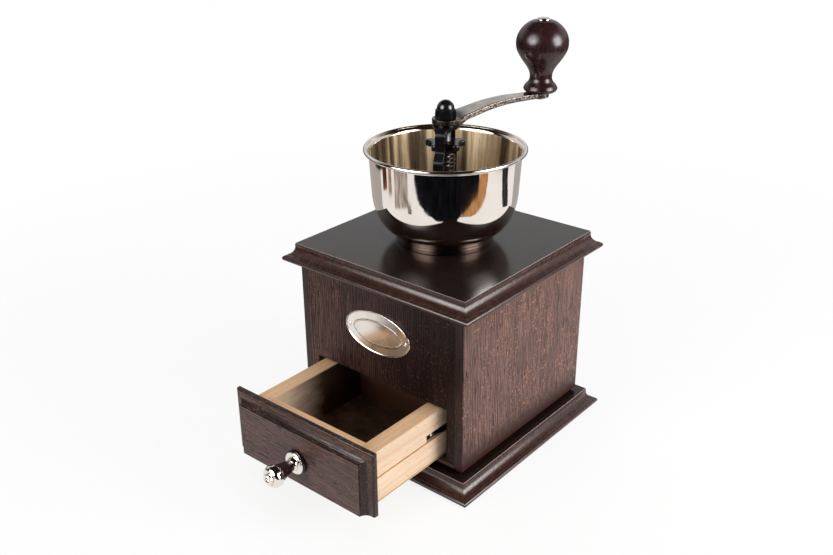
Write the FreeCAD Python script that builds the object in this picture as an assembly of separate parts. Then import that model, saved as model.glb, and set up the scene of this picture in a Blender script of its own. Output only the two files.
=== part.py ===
import FreeCAD, Part
import math
import os

# Manual coffee grinder: a wooden box with a drawer, an open steel bowl on top, a conical burr mill in it
# and a hand crank. Millimetres, +Z up, origin at the centre of the base's underside, drawer towards -Y.

# Base and top plates, each reaching past the body by its overhang
base_overhang = 10.2
base_height = 10.3
top_overhang = 7.2
top_height = 10.4
moulding_depth = 5.6
arris_drop = 0.9
arris_step = 0.2
nose_radius = 1.5
nose_step = 0.2
nose_edge = 0.1
foot_round = 1.5

# Wooden body
body_side = 114.6
body_height = 93.7
side_board = 5.3
end_board = 9.0
quirk = 2.3
top_quirk = 1.0
corner_round = 1.0
floor_board = 4.4
guide_height = 20.0

# Drawer
opening_width = 93.8
opening_height = 32.6
drawer_clearance = 0.3
drawer_side_gap = 4.6
guide_gap = 0.7
drawer_height = 31.1
drawer_length = 82.0
drawer_wall = 9.2
drawer_out = 56.6
lip_gap = 0.3
panel_overlap = 0.4
panel_raise = 0.5
panel_height = 30.3
lip_width = 6.4
lip_thickness = 6.6
lip_edge = 1.6
lip_round = 1.0
inner_front_wall = 9.8
drawer_back_wall = 6.0
back_drop = 4.0
plywood = 1.8
plywood_inset = 0.6
kerf_height = 0.9
kerf_depth = 0.7
slot_height = 4.8
slot_depth = 2.2
slot_start = 52.5
slot_level = 17.6
leaf_thickness = 0.6
leaf_height = 4.0
leaf_reach = 0.35
leaf_flat = 10.0
leaf_bow = 20.0
leaf_tail = 3.0

# Drawer pull
pull_backing_radius = 6.8
pull_backing_thickness = 1.8
rose_radius = 6.2
rose_flange = 0.9
rose_dome = 3.7
stem_small = 2.9
stem_large = 4.7
stem_length = 9.1
stem_inset = 0.1
pull_level = 14.3
cap_radius = 6.0
cap_height = 7.0
cap_boss = 3.0
cap_boss_height = 1.6
cap_groove = 0.5
cap_hole = 1.3
cap_hole_depth = 1.2
bolt_radius = 1.6
bolt_head_radius = 3.2
bolt_head_height = 1.6

# Badge
badge_half_length = 22.8
badge_half_height = 12.4
badge_level = 77.0
badge_thickness = 0.8
badge_rim_width = 1.1
badge_rim_height = 0.5
badge_band = 5.2
badge_line = 0.7
pin_offset = 19.8
pin_head_radius = 1.0
pin_head_height = 0.45
pin_shank_radius = 0.6
pin_length = 6.0

# Bowl
foot_radius = 27.2
foot_inner_radius = 24.0
foot_height = 6.0
foot_steps = 3
foot_step = 0.5
foot_groove = 0.8
bowl_floor_radius = 26.7
bowl_wall_radius = 40.3
bowl_wall_level = 24.4
bowl_neck_radius = 41.5
bowl_neck_level = 43.6
bowl_sheet = 0.8
flare_radius = 1.8
bead_radius = 1.05

# Burrs
ring_body_radius = 19.2
ring_depth = 30.4
throat_radius = 17.5
waist_radius = 14.5
waist_level = 15.6
ring_mouth_radius = 17.3
cone_base_radius = 16.6
cone_waist_radius = 14.0
cone_rise = 2.0
cone_shoulder_radius = 12.4
cone_top_radius = 8.0
cone_feed_height = 13.0
cone_hub_radius = 5.5
cone_hub_height = 4.0
tooth_count = 16
tooth_width = 1.3
tooth_depth = 0.9
tooth_slant = 18.0

# Shaft and its bearings
shaft_radius = 3.0
running_clearance = 0.05
thread_pitch = 1.0
thread_depth = 0.35
thread_start = 8.0
lug_radius = 2.8
lug_height = 8.0
strap_thickness = 4.0
strap_width = 14.0
bush_side = 9.0
bush_slide = 0.05
bush_height = 7.0
end_play = 0.15
ring_clip_radius = 4.4
ring_clip_thickness = 1.2
shaft_tail = 1.5
lift_range = 1.0

# Frame that carries the shaft in the bowl
frame_radius = 23.7
frame_base = 2.4
frame_arm_width = 5.0
frame_arm_thickness = 5.0
frame_hub_radius = 5.6
frame_hub_bottom = 17.8
frame_hub_height = 12.0
washer_radius = 6.2
washer_thickness = 0.8

# Tension spring
spring_radius = 4.9
spring_wire = 0.6
spring_turns = 5
spring_gap = 0.25

# Star wheel
wheel_level = 166.8
wheel_thickness = 3.4
wheel_tip_radius = 11.2
wheel_root_radius = 7.8
wheel_lobe_radius = 2.4
wheel_points = 5
wheel_hub_radius = 5.4
wheel_hub_height = 2.2
wheel_chamfer = 0.4

# Bridge over the bowl
bridge_top = 179.2
bridge_thickness = 1.8
bridge_disc_radius = 7.3
bridge_leg_width = 5.4
bridge_leg_radius = 12.4
bridge_spread_radius = 16.5
bridge_foot_radius = 23.5
bridge_upper_jog = 167.0
bridge_lower_jog = 162.5
bridge_bend = 3.2
bridge_jog_bend = 3.0
bridge_foot_bend = 1.6
bridge_angle = -65.0
bush_radius = 4.4
bush_flange_radius = 6.0
bush_flange = 0.4

# Screws
screw_ring = 20.9
screw_radius = 1.5
screw_head_radius = 2.5
screw_head_height = 1.7
screw_bite = 6.0
slot_cut = 0.7

# Crank
crank_angle = 67.9
arm_gap = 0.2
arm_thickness = 3.0
arm_hub_radius = 7.3
arm_reach = 60.3
arm_neck = 3.5
arm_eye_radius = 4.9
arm_flat = 5.2
arm_bend_radius = 3.0
arm_steep = 36.0
arm_near_radius = 9.0
arm_mid = 12.3
arm_run = 9.8
arm_far_radius = 106.0
nut_across_flats = 10.3
nut_hex = 5.0
nut_dome_radius = 4.9
nut_height = 9.7
nut_wall = 2.0

# Crank knob
knob_gap = 0.3
knob_base_radius = 8.4
knob_flare_radius = 9.4
knob_flare_level = 2.0
knob_neck_radius = 6.15
knob_neck_level = 8.6
knob_ball_radius = 14.35
knob_ball_level = 26.9
knob_height = 38.8
pin_radius = 2.4
pin_cap_radius = 3.9
pin_cap_height = 1.3
pin_tail_radius = 3.4
pin_tail_height = 1.1

# Base screws
base_screw_radius = 1.0
base_screw_head = 2.4
base_screw_bite = 12.0
base_screw_spread = 34.0

# Levels and planes that follow from the sizes above
base_side = body_side + 2 * base_overhang
top_side = body_side + 2 * top_overhang
body_half = body_side / 2
inner_half = body_half - side_board
front_y = -body_half
back_y = body_half
base_top = base_height
body_top = base_top + body_height
top_level = body_top + top_height
floor_top = base_top + floor_board
drawer_bottom_z = floor_top + drawer_clearance
drawer_top = drawer_bottom_z + drawer_height
panel_bottom = drawer_bottom_z + panel_raise
panel_top = panel_bottom + panel_height
drawer_half = opening_width / 2 - drawer_side_gap
lip_back = front_y - lip_gap - drawer_out
panel_front = lip_back - lip_thickness
box_front = lip_back
box_back = lip_back + drawer_length
slot_front = panel_front + slot_start
slot_z = drawer_bottom_z + slot_level
pull_z = drawer_bottom_z + pull_level
bowl_floor = top_level + foot_height
bowl_inside = bowl_floor + bowl_sheet
ring_bottom = bowl_floor - foot_height - ring_depth
cone_bottom = ring_bottom + cone_rise
frame_top = bowl_inside + frame_base
hub_bottom = bowl_inside + frame_hub_bottom
hub_top = hub_bottom + frame_hub_height
washer_top = hub_top + washer_thickness
wheel_bottom = wheel_level - wheel_hub_height
foot_top = frame_top + bridge_thickness
arm_bottom = bridge_top + bush_flange + arm_gap
arm_top = arm_bottom + arm_thickness
nut_bottom = arm_top
shaft_top = nut_bottom + nut_height - nut_wall
bush_top = cone_bottom - end_play
bush_bottom = bush_top - bush_height
strap_top = ring_bottom
strap_bottom = strap_top - strap_thickness
clip_top = bush_bottom - end_play
clip_bottom = clip_top - ring_clip_thickness
shaft_bottom = clip_bottom - shaft_tail
far = 4 * base_side
z_axis = FreeCAD.Vector(0, 0, 1)
origin = FreeCAD.Vector(0, 0, 0)

parts = {}


def vec(x, y, z):
    return FreeCAD.Vector(x, y, z)


def box(x0, x1, y0, y1, z0, z1):
    return Part.makeBox(x1 - x0, y1 - y0, z1 - z0, vec(x0, y0, z0))


def cylinder(radius, z0, z1, x=0.0, y=0.0):
    return Part.makeCylinder(radius, z1 - z0, vec(x, y, z0))


def polygon_face(points):
    return Part.Face(Part.makePolygon(points + [points[0]]))


def turned(points):
    """Solid of revolution about Z from (radius, height) corner points."""
    face = polygon_face([vec(r, 0, z) for r, z in points])
    return face.revolve(origin, z_axis, 360)


def turned_edges(edges):
    return Part.Face(Part.Wire(edges)).revolve(origin, z_axis, 360)


def about_z(shape, degrees):
    copy = shape.copy()
    copy.rotate(origin, z_axis, degrees)
    return copy


def moved(shape, x, y, z):
    copy = shape.copy()
    copy.translate(vec(x, y, z))
    return copy


def mirrored_x(shape):
    return shape.mirror(origin, vec(1, 0, 0))


def line(a, b):
    return Part.LineSegment(a, b).toShape()


def arc(a, b, c):
    return Part.Arc(a, b, c).toShape()


def keep(name, shape):
    """Store a sub-part, as one clean solid."""
    solids = shape.Solids
    if len(solids) != 1 or not shape.isValid():
        print("check", name, "solids", len(solids), "valid", shape.isValid())
    parts[name] = solids[0] if len(solids) == 1 else shape


def moulding(place, depth, drop, edge, nose):
    """Edges of the moulding from the flat to the outer face, as place(outward, down) gives their points.
    It drops from a sharp arris into a cove and ends in a rounded nose with an upright edge."""
    nose_out = depth - nose
    nose_down = drop - edge - nose
    cove_x = nose_out - arris_step
    cove_y = nose_down - nose_step - arris_drop
    middle = math.sqrt(0.5)
    cove_end = arris_drop + cove_y
    p = [place(0, 0), place(0, arris_drop), place(arris_step, arris_drop)]
    p_mid = place(nose_out - cove_x * middle, arris_drop + cove_y * middle)
    p_end = place(nose_out, cove_end)
    p_nose = place(nose_out, nose_down)
    p_nose_mid = place(nose_out + nose * middle, nose_down + nose * (1 - middle))
    p_nose_end = place(depth, nose_down + nose)
    p_out = place(depth, drop)
    edges = [line(p[0], p[1]), line(p[1], p[2]), arc(p[2], p_mid, p_end)]
    edges.append(line(p_end, p_nose))
    edges.append(arc(p_nose, p_nose_mid, p_nose_end))
    edges.append(line(p_nose_end, p_out))
    return edges, p[0], p_out


def moulded_plate(side, bottom, height):
    """Square plate with the moulding on its four sides, mitred at the corners."""
    half = side / 2
    flat = half - moulding_depth
    top = bottom + height
    bars = []
    for along_x in (True, False):
        sides = []
        for sign in (-1, 1):
            def place(out, down, s=sign, x=along_x):
                across = s * (flat + out)
                if x:
                    return vec(-far / 2, across, top - down)
                return vec(across, -far / 2, top - down)
            drop = height - foot_round
            edges, start, end = moulding(place, moulding_depth, drop, nose_edge, nose_radius)
            middle = foot_round * (1 - math.sqrt(0.5))
            low = place(moulding_depth - foot_round, height)
            edges.append(arc(end, place(moulding_depth - middle, height - middle), low))
            sides.append((edges, start, low))
        left, right = sides
        outline = left[0] + [line(left[1], right[1])] + right[0] + [line(left[2], right[2])]
        face = Part.Face(Part.Wire(Part.__sortEdges__(outline)))
        bars.append(face.extrude(vec(far, 0, 0) if along_x else vec(0, far, 0)))
    return bars[0].common(bars[1])


def rounded_path(points, radii):
    """Wire of straight runs joined by tangent arcs; radii are those of the inner corners."""
    edges = []
    start = points[0]
    for index in range(1, len(points) - 1):
        corner = points[index]
        back = (points[index - 1] - corner).normalize()
        ahead = (points[index + 1] - corner).normalize()
        turn = math.pi - back.getAngle(ahead)
        reach = radii[index - 1] * math.tan(turn / 2)
        a = corner + back * reach
        b = corner + ahead * reach
        bisector = (back + ahead).normalize()
        centre = corner + bisector * (radii[index - 1] / math.cos(turn / 2))
        middle = centre - bisector * radii[index - 1]
        edges.append(line(start, a))
        edges.append(arc(a, middle, b))
        start = b
    edges.append(line(start, points[-1]))
    return Part.Wire(edges)


def strap(path, width, thickness):
    """Flat bar swept along a path in the XZ plane that starts along +X, its width along Y."""
    start = path.Vertexes[0].Point
    corners = [(-width / 2, -thickness / 2), (width / 2, -thickness / 2), (width / 2, thickness / 2),
               (-width / 2, thickness / 2)]
    points = [vec(start.x, y, start.z + z) for y, z in corners]
    section = Part.makePolygon(points + [points[0]])
    return Part.Wire(path.Edges).makePipeShell([section], True, False)


def cap_arc(radius, level, apex):
    """Arc of a shallow dome, from its edge at a radius and level to its apex on the axis."""
    rise = apex - level
    sphere = (radius ** 2 + rise ** 2) / (2 * rise)
    half = math.asin(radius / abs(sphere)) / 2
    side = math.copysign(1, rise)
    middle = vec(abs(sphere) * math.sin(half), 0, apex - sphere + side * abs(sphere) * math.cos(half))
    return arc(vec(radius, 0, level), middle, vec(0, 0, apex))


def pan_screw(x, y, seat, radius, head_radius, head_height, length, slot_angle):
    """Screw with a domed, slotted head that sits on the height seat, pointing down."""
    rim = head_height * 0.45
    top = cap_arc(head_radius, rim, head_height)
    edges = [line(vec(0, 0, -length), vec(radius, 0, -length)), line(vec(radius, 0, -length), vec(radius, 0, 0)),
             line(vec(radius, 0, 0), vec(head_radius, 0, 0)), line(vec(head_radius, 0, 0), vec(head_radius, 0, rim)),
             top, line(vec(0, 0, head_height), vec(0, 0, -length))]
    body = turned_edges(edges)
    cut = box(-head_radius - 1, head_radius + 1, -slot_cut / 2, slot_cut / 2, head_height - slot_cut, head_height + 1)
    body = body.cut(about_z(cut, slot_angle))
    return moved(body, x, y, seat)


def ring_point(radius, degrees):
    angle = math.radians(degrees)
    return radius * math.cos(angle), radius * math.sin(angle)


# Wooden body, cut from one envelope so that its quirks and rounded corners run through
def level_edges(shape, level):
    return [e for e in shape.Edges if all(abs(v.Z - level) < 0.001 for v in e.Vertexes)]


outline = [vec(0, quirk - body_half, base_top), vec(0, body_half - quirk, base_top), vec(0, body_half, base_top + quirk),
           vec(0, body_half, body_top - top_quirk), vec(0, body_half - top_quirk, body_top),
           vec(0, top_quirk - body_half, body_top), vec(0, front_y, body_top - top_quirk),
           vec(0, front_y, base_top + quirk)]
bar = moved(polygon_face(outline).extrude(vec(far, 0, 0)), -far / 2, 0, 0)
envelope = box(-body_half, body_half, front_y, back_y, base_top, body_top)
upright = [e for e in envelope.Edges if abs(e.Vertexes[0].Z - e.Vertexes[1].Z) > 1]
envelope = envelope.makeFillet(corner_round, upright).common(bar).common(about_z(bar, 90))
opening_half = opening_width / 2
opening_top = floor_top + opening_height
side_right = box(inner_half, body_half, front_y, back_y, base_top, body_top).common(envelope)
front = box(-inner_half, inner_half, front_y, front_y + end_board, floor_top, body_top).common(envelope)
front = front.cut(box(-opening_half, opening_half, front_y - 1, front_y + end_board + 1, floor_top - 1, opening_top))
back = box(-inner_half, inner_half, back_y - end_board, back_y, base_top, body_top).common(envelope)
floor = box(-inner_half, inner_half, front_y, back_y - end_board, base_top, floor_top).common(envelope)
guide = box(drawer_half + guide_gap, inner_half, front_y + end_board, back_y - end_board, floor_top, floor_top + guide_height)
base = moulded_plate(base_side, 0, base_height)
top = moulded_plate(top_side, body_top, top_height)
top = top.cut(cylinder(ring_body_radius, body_top - 1, top_level + 1))

# Screws that hold the base to the side boards, countersunk from below, in the middle of each board's narrow foot
base_screws = []
for sx in (-1, 1):
    for sy in (-1, 1):
        x = sx * (body_half - (side_board + quirk) / 2)
        y = sy * base_screw_spread
        head = base_screw_head - base_screw_radius
        tip = base_height + base_screw_bite
        screw = turned([(0, 0.4), (base_screw_head, 0.4), (base_screw_radius, 0.4 + head), (base_screw_radius, tip - 2),
                        (0, tip)])
        well = moved(cylinder(base_screw_head, -1, 0.4), x, y, 0)
        screw = moved(screw, x, y, 0)
        base = base.cut(screw).cut(well)
        side_right = side_right.cut(screw) if sx > 0 else side_right
        base_screws.append(screw)
side_left = mirrored_x(side_right)

# Burr ring: a cast cup with a flange under the bowl and slanted teeth inside
waist_z = ring_bottom + waist_level
ring = turned([(ring_mouth_radius, ring_bottom), (ring_body_radius, ring_bottom), (ring_body_radius, top_level),
               (foot_inner_radius, top_level), (foot_inner_radius, bowl_floor), (throat_radius, bowl_floor),
               (waist_radius, waist_z)])
lug = cylinder(lug_radius, ring_bottom, ring_bottom + lug_height, ring_body_radius + 1.5, 0)
ring_space = cylinder(ring_mouth_radius + 1, ring_bottom - 1, ring_bottom + lug_height + 1)
lug = lug.cut(ring_space)
ring = ring.fuse([lug, mirrored_x(lug)]).removeSplitter()
cone_waist_z = waist_z
cone_feed_top = cone_waist_z + cone_feed_height
cone = turned([(shaft_radius, cone_bottom), (cone_base_radius, cone_bottom), (cone_waist_radius, cone_waist_z),
               (cone_shoulder_radius, cone_waist_z + 1), (cone_top_radius, cone_feed_top),
               (cone_hub_radius, cone_feed_top), (cone_hub_radius, cone_feed_top + cone_hub_height),
               (shaft_radius, cone_feed_top + cone_hub_height)])


def tooth_cutter(radius_low, radius_high, z_low, z_high, inward):
    """Slanted groove along a cone, sunk into its outside (inward) or into a bore's inside."""
    length = z_high - z_low
    lean = math.degrees(math.atan2(radius_high - radius_low, length))
    cutter = box(-tooth_depth, tooth_depth, -tooth_width / 2, tooth_width / 2, -length, length)
    cutter.rotate(origin, z_axis, 45 if inward is None else 0)
    cutter.rotate(origin, vec(1, 0, 0), tooth_slant)
    cutter.rotate(origin, vec(0, 1, 0), lean)
    return moved(cutter, (radius_low + radius_high) / 2, 0, (z_low + z_high) / 2)


cone_groove = tooth_cutter(cone_base_radius, cone_waist_radius, cone_bottom, cone_waist_z, True)
cone_groove = cone_groove.cut(cylinder(cone_waist_radius - 2.5, cone_bottom - far, cone_waist_z + far))
ring_groove = tooth_cutter(ring_mouth_radius, waist_radius, ring_bottom, waist_z, False)
ring_groove = ring_groove.common(cylinder(ring_mouth_radius + 1.5, ring_bottom - far, waist_z + far))
feed_groove = tooth_cutter(cone_shoulder_radius, cone_top_radius, cone_waist_z + 1, cone_feed_top, True)
for index in range(tooth_count):
    turn = index * 360 / tooth_count
    cone = cone.cut(about_z(cone_groove, turn))
    ring = ring.cut(about_z(ring_groove, turn))
    if index % 4 == 0:
        cone = cone.cut(about_z(feed_groove, turn))

# Bowl: a thin steel shell with a rolled rim, on a stepped foot
neck_z = top_level + bowl_neck_level + foot_height
wall_z = bowl_floor + bowl_wall_level


def bowl_side(inset):
    """Edges of the bowl's outside (inset 0) or inside, from the floor's hole to the flared lip."""
    floor_z = bowl_floor + inset
    a = bowl_wall_radius - bowl_floor_radius - inset
    b = wall_z - floor_z
    points = []
    for step in range(9):
        angle = math.radians(90 * step / 8)
        points.append(vec(bowl_floor_radius + a * math.sin(angle), 0, wall_z - b * math.cos(angle)))
    curve = Part.BSplineCurve()
    curve.interpolate(Points=points, InitialTangent=vec(1, 0, 0), FinalTangent=vec(0, 0, 1))
    flare = flare_radius + inset
    centre = vec(bowl_neck_radius + flare_radius, 0, neck_z)
    neck = vec(bowl_neck_radius - inset, 0, neck_z)
    lip = vec(centre.x, 0, neck_z + flare)
    middle = vec(centre.x - flare * math.sqrt(0.5), 0, neck_z + flare * math.sqrt(0.5))
    hole = vec(throat_radius, 0, floor_z)
    edges = [line(hole, points[0]), curve.toShape(), line(points[-1], neck), arc(neck, middle, lip)]
    return edges, hole, lip


outer_edges, outer_hole, outer_lip = bowl_side(0)
inner_edges, inner_hole, inner_lip = bowl_side(bowl_sheet)
shell = outer_edges + [line(outer_lip, inner_lip)] + inner_edges + [line(inner_hole, outer_hole)]
bowl = Part.Face(Part.Wire(Part.__sortEdges__(shell))).revolve(origin, z_axis, 360)
bead_z = neck_z + flare_radius + bowl_sheet / 2
bead = Part.makeTorus(bowl_neck_radius + flare_radius, bead_radius, vec(0, 0, bead_z))
bowl = bowl.fuse(bead).removeSplitter()

foot_points = [(foot_inner_radius, top_level)]
step_height = (foot_height - foot_groove) / (foot_steps + 1)
level = top_level
for index in range(foot_steps):
    radius = foot_radius - index * foot_step
    height = step_height * (2 if index == 0 else 1)
    foot_points.append((radius, level))
    level += height
    foot_points.append((radius, level))
neck_of_foot = foot_radius - foot_steps * foot_step
foot_points += [(neck_of_foot, level), (neck_of_foot, bowl_floor), (foot_inner_radius, bowl_floor)]
foot = turned(foot_points)

# Frame in the bowl: a base ring, two slanted arms and a hub that guides the shaft
frame = cylinder(frame_radius, bowl_inside, frame_top).cut(cylinder(throat_radius, bowl_inside - 1, frame_top + 1))
arm_in = frame_hub_radius - 2
arm_foot = frame_radius - 1
arm_profile = [(arm_foot, bowl_inside), (arm_foot, frame_top + frame_arm_thickness),
               (arm_in, hub_bottom + 2 * frame_arm_thickness), (arm_in, hub_bottom + frame_arm_thickness),
               (throat_radius, frame_top), (throat_radius, bowl_inside)]
arm_face = polygon_face([vec(r, -frame_arm_width / 2, z) for r, z in arm_profile])
frame_arm = arm_face.extrude(vec(0, frame_arm_width, 0))
frame = frame.fuse([frame_arm, about_z(frame_arm, 180), cylinder(frame_hub_radius, hub_bottom, hub_top)])
frame = frame.cut(cylinder(shaft_radius + running_clearance, hub_bottom - far, hub_top + far))
frame = about_z(frame.removeSplitter(), bridge_angle + 90)
thrust_washer = cylinder(washer_radius, hub_top, washer_top)
thrust_washer = thrust_washer.cut(cylinder(shaft_radius + running_clearance, hub_top - 1, washer_top + 1))

# Bridge: a bent steel strap over the bowl that carries the upper bush
bridge_mid = bridge_top - bridge_thickness / 2
foot_mid = frame_top + bridge_thickness / 2
half_bridge = rounded_path([vec(0, 0, bridge_mid), vec(bridge_leg_radius, 0, bridge_mid),
                            vec(bridge_leg_radius, 0, bridge_upper_jog), vec(bridge_spread_radius, 0, bridge_lower_jog),
                            vec(bridge_spread_radius, 0, foot_mid), vec(bridge_foot_radius, 0, foot_mid)],
                           [bridge_bend, bridge_jog_bend, bridge_jog_bend, bridge_foot_bend])
half = strap(half_bridge, 2 * bridge_disc_radius, bridge_thickness)
leg = bridge_leg_width / 2
plan = polygon_face([vec(-0.1, -bridge_disc_radius * 0.9, 0), vec(bridge_disc_radius * 0.5, -bridge_disc_radius * 0.86, 0),
                     vec(bridge_leg_radius, -leg, 0), vec(far, -leg, 0), vec(far, leg, 0),
                     vec(bridge_leg_radius, leg, 0), vec(bridge_disc_radius * 0.5, bridge_disc_radius * 0.86, 0),
                     vec(-0.1, bridge_disc_radius * 0.9, 0)])
plan = plan.extrude(vec(0, 0, far))
half = half.common(plan)
bridge = half.fuse([about_z(half, 180), cylinder(bridge_disc_radius, bridge_top - bridge_thickness, bridge_top)])
bridge = bridge.removeSplitter().cut(cylinder(bush_radius, bridge_top - 9, bridge_top + 9))
bridge = about_z(bridge, bridge_angle)
upper_bush = turned([(shaft_radius + running_clearance, bridge_top - bridge_thickness),
                     (bush_radius, bridge_top - bridge_thickness), (bush_radius, bridge_top),
                     (bush_flange_radius, bridge_top), (bush_flange_radius, bridge_top + bush_flange),
                     (shaft_radius + running_clearance, bridge_top + bush_flange)])

# Screws through the bridge and frame into the top plate
screws = []
for index in range(4):
    degrees = bridge_angle + 90 * index
    x, y = ring_point(screw_ring, degrees)
    seat = foot_top if index % 2 == 0 else frame_top + frame_arm_thickness
    length = seat - top_level + screw_bite
    screw = pan_screw(x, y, seat, screw_radius, screw_head_radius, screw_head_height, length, degrees + 30)
    screws.append(screw)
    hole = cylinder(screw_radius, seat - length, seat + 20, x, y)
    if index % 2 == 0:
        bridge = bridge.cut(hole)
    frame = frame.cut(hole)
    if index % 2 == 1:
        frame = frame.cut(cylinder(screw_head_radius + 0.3, seat, seat + 20, x, y))
    bowl = bowl.cut(hole)
    ring = ring.cut(hole)
    top = top.cut(hole)

# Strap across the bottom of the burr ring, with a square guide for the sliding bush
strap_screw_x = ring_body_radius + 1.5
strap_end = strap_screw_x + lug_radius
lower_strap = box(-strap_end, strap_end, -strap_width / 2, strap_width / 2, strap_bottom, strap_top)
lower_strap = lower_strap.common(cylinder(strap_end, strap_bottom, strap_top))
guide_half = bush_side / 2
lower_strap = lower_strap.cut(box(-guide_half, guide_half, -guide_half, guide_half, strap_bottom - 1, strap_top + 1))
strap_screws = []
for sign in (-1, 1):
    screw = pan_screw(0, 0, 0, 1.1, 1.8, 1.0, strap_thickness + 6, 20)
    screw.rotate(origin, vec(1, 0, 0), 180)
    screw = moved(screw, sign * strap_screw_x, 0, strap_bottom)
    strap_screws.append(screw)
    lower_strap = lower_strap.cut(screw)
    ring = ring.cut(screw)
slide_half = guide_half - bush_slide
lower_bush = box(-slide_half, slide_half, -slide_half, slide_half, bush_bottom, bush_top)
lower_bush = lower_bush.cut(cylinder(shaft_radius + running_clearance, bush_bottom - 1, bush_top + 1))

# Shaft, threaded where the star wheel runs
thread_bottom = wheel_bottom - thread_start
thread_top = bridge_top - bridge_thickness - 1.5
shaft_points = [(0, shaft_bottom), (shaft_radius - 0.5, shaft_bottom), (shaft_radius, shaft_bottom + 0.5)]
level = thread_bottom
while level + thread_pitch < thread_top:
    shaft_points.append((shaft_radius, level))
    shaft_points.append((shaft_radius - thread_depth, level + thread_pitch / 2))
    level += thread_pitch
shaft_points += [(shaft_radius, level), (shaft_radius, shaft_top - 0.5), (shaft_radius - 0.5, shaft_top), (0, shaft_top)]
shaft = turned(shaft_points)
ring_clip = cylinder(ring_clip_radius, clip_bottom, clip_top).cut(cylinder(shaft_radius, clip_bottom - 1, clip_top + 1))

# Star wheel with broad rounded points
away = 128.1
lobe_centre = wheel_tip_radius - wheel_lobe_radius
half_step = 180 / wheel_points
cos_half = math.cos(math.radians(half_step))
valley_radius = (wheel_lobe_radius ** 2 - lobe_centre ** 2 - wheel_root_radius ** 2
                 + 2 * lobe_centre * wheel_root_radius * cos_half)
valley_radius /= 2 * (wheel_root_radius - lobe_centre * cos_half - wheel_lobe_radius)
valley_centre = wheel_root_radius + valley_radius


def joint_point(lobe_angle, valley_angle):
    """Where a lobe's arc meets the arc of the valley beside it."""
    lobe = vec(*ring_point(lobe_centre, lobe_angle), wheel_level)
    valley = vec(*ring_point(valley_centre, valley_angle), wheel_level)
    return lobe + (valley - lobe).normalize() * wheel_lobe_radius


star_edges = []
for index in range(wheel_points):
    tip_angle = away + index * 360 / wheel_points
    before = joint_point(tip_angle, tip_angle - half_step)
    after = joint_point(tip_angle, tip_angle + half_step)
    tip = vec(*ring_point(wheel_tip_radius, tip_angle), wheel_level)
    root = vec(*ring_point(wheel_root_radius, tip_angle + half_step), wheel_level)
    following = joint_point(tip_angle + 2 * half_step, tip_angle + half_step)
    star_edges.append(arc(before, tip, after))
    star_edges.append(arc(after, root, following))
wheel = Part.Face(Part.Wire(star_edges)).extrude(vec(0, 0, wheel_thickness))
wheel = wheel.makeChamfer(wheel_chamfer, level_edges(wheel, wheel_level + wheel_thickness))
wheel = wheel.fuse(cylinder(wheel_hub_radius, wheel_bottom, wheel_level)).removeSplitter()
wheel = wheel.cut(cylinder(shaft_radius + running_clearance, wheel_bottom - 1, wheel_level + wheel_thickness + 1))


def biarc(p0, t0, p1, t1):
    """Two tangent arcs from p0 to p1 that leave along t0 and arrive along t1."""
    chord = p1 - p0
    total = t0 + t1
    a = 2 * (1 - t0.dot(t1))
    b = chord.dot(total)
    reach = (-b + math.sqrt(b * b + a * chord.dot(chord))) / a
    middle = (p0 + t0 * reach + p1 - t1 * reach) * 0.5
    return [bent(p0, p0 + t0 * reach, middle), bent(middle, p1 - t1 * reach, p1)]


def bent(a, corner, b):
    """Arc from a to b that is tangent to the lines from corner to both."""
    centre = (a + b) * 0.5
    rise = corner - centre
    angle = math.atan2(rise.Length, (b - a).Length / 2)
    return arc(a, centre + rise * (math.tan(angle / 2) / math.tan(angle)), b)


# Tension spring between the frame's washer and the star wheel, one unbroken wire
spring_low = washer_top + spring_wire
spring_high = wheel_bottom - spring_gap - spring_wire
spring_pitch = (spring_high - spring_low) / spring_turns
helix_length = math.hypot(2 * math.pi * spring_radius, spring_pitch)


def helix(turn):
    angle = 2 * math.pi * turn
    point = vec(spring_radius * math.cos(angle), spring_radius * math.sin(angle), spring_low + spring_pitch * turn)
    tangent = vec(-math.sin(angle) * 2 * math.pi * spring_radius, math.cos(angle) * 2 * math.pi * spring_radius,
                  spring_pitch)
    return point, tangent * (1 / helix_length)


spring_edges = []
steps = spring_turns * 4
for index in range(steps):
    p0, t0 = helix(index / 4)
    p1, t1 = helix((index + 1) / 4)
    spring_edges += biarc(p0, t0, p1, t1)
p0, t0 = helix(0)
wire_section = Part.Wire([Part.makeCircle(spring_wire, p0, t0)])
spring = Part.Wire(spring_edges).makePipeShell([wire_section], True, False)
track = [point for edge in spring_edges for point in edge.discretize(8)]
half_turn = len(track) // (2 * spring_turns)
least = min(a.distanceToPoint(b) for i, a in enumerate(track) for b in track[i + half_turn:])
print("least gap of the spring to itself", round(least - 2 * spring_wire, 3))

# Crank arm: hub, a short bend up, then a long easing curve to a level eye
steep = math.radians(arm_steep)
mid = math.radians(arm_mid)
arm_mid_z = arm_bottom + arm_thickness / 2


def arm_arc(start, angle_a, angle_b, radius, rising):
    """Arc of the arm's centre line between two slopes; rising bends up, otherwise it eases off."""
    sign = 1 if rising else -1
    centre = vec(start.x - sign * radius * math.sin(angle_a), 0, start.z + sign * radius * math.cos(angle_a))

    def at(angle):
        return vec(centre.x + sign * radius * math.sin(angle), 0, centre.z - sign * radius * math.cos(angle))
    return arc(at(angle_a), at((angle_a + angle_b) / 2), at(angle_b)), at(angle_b)


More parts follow.
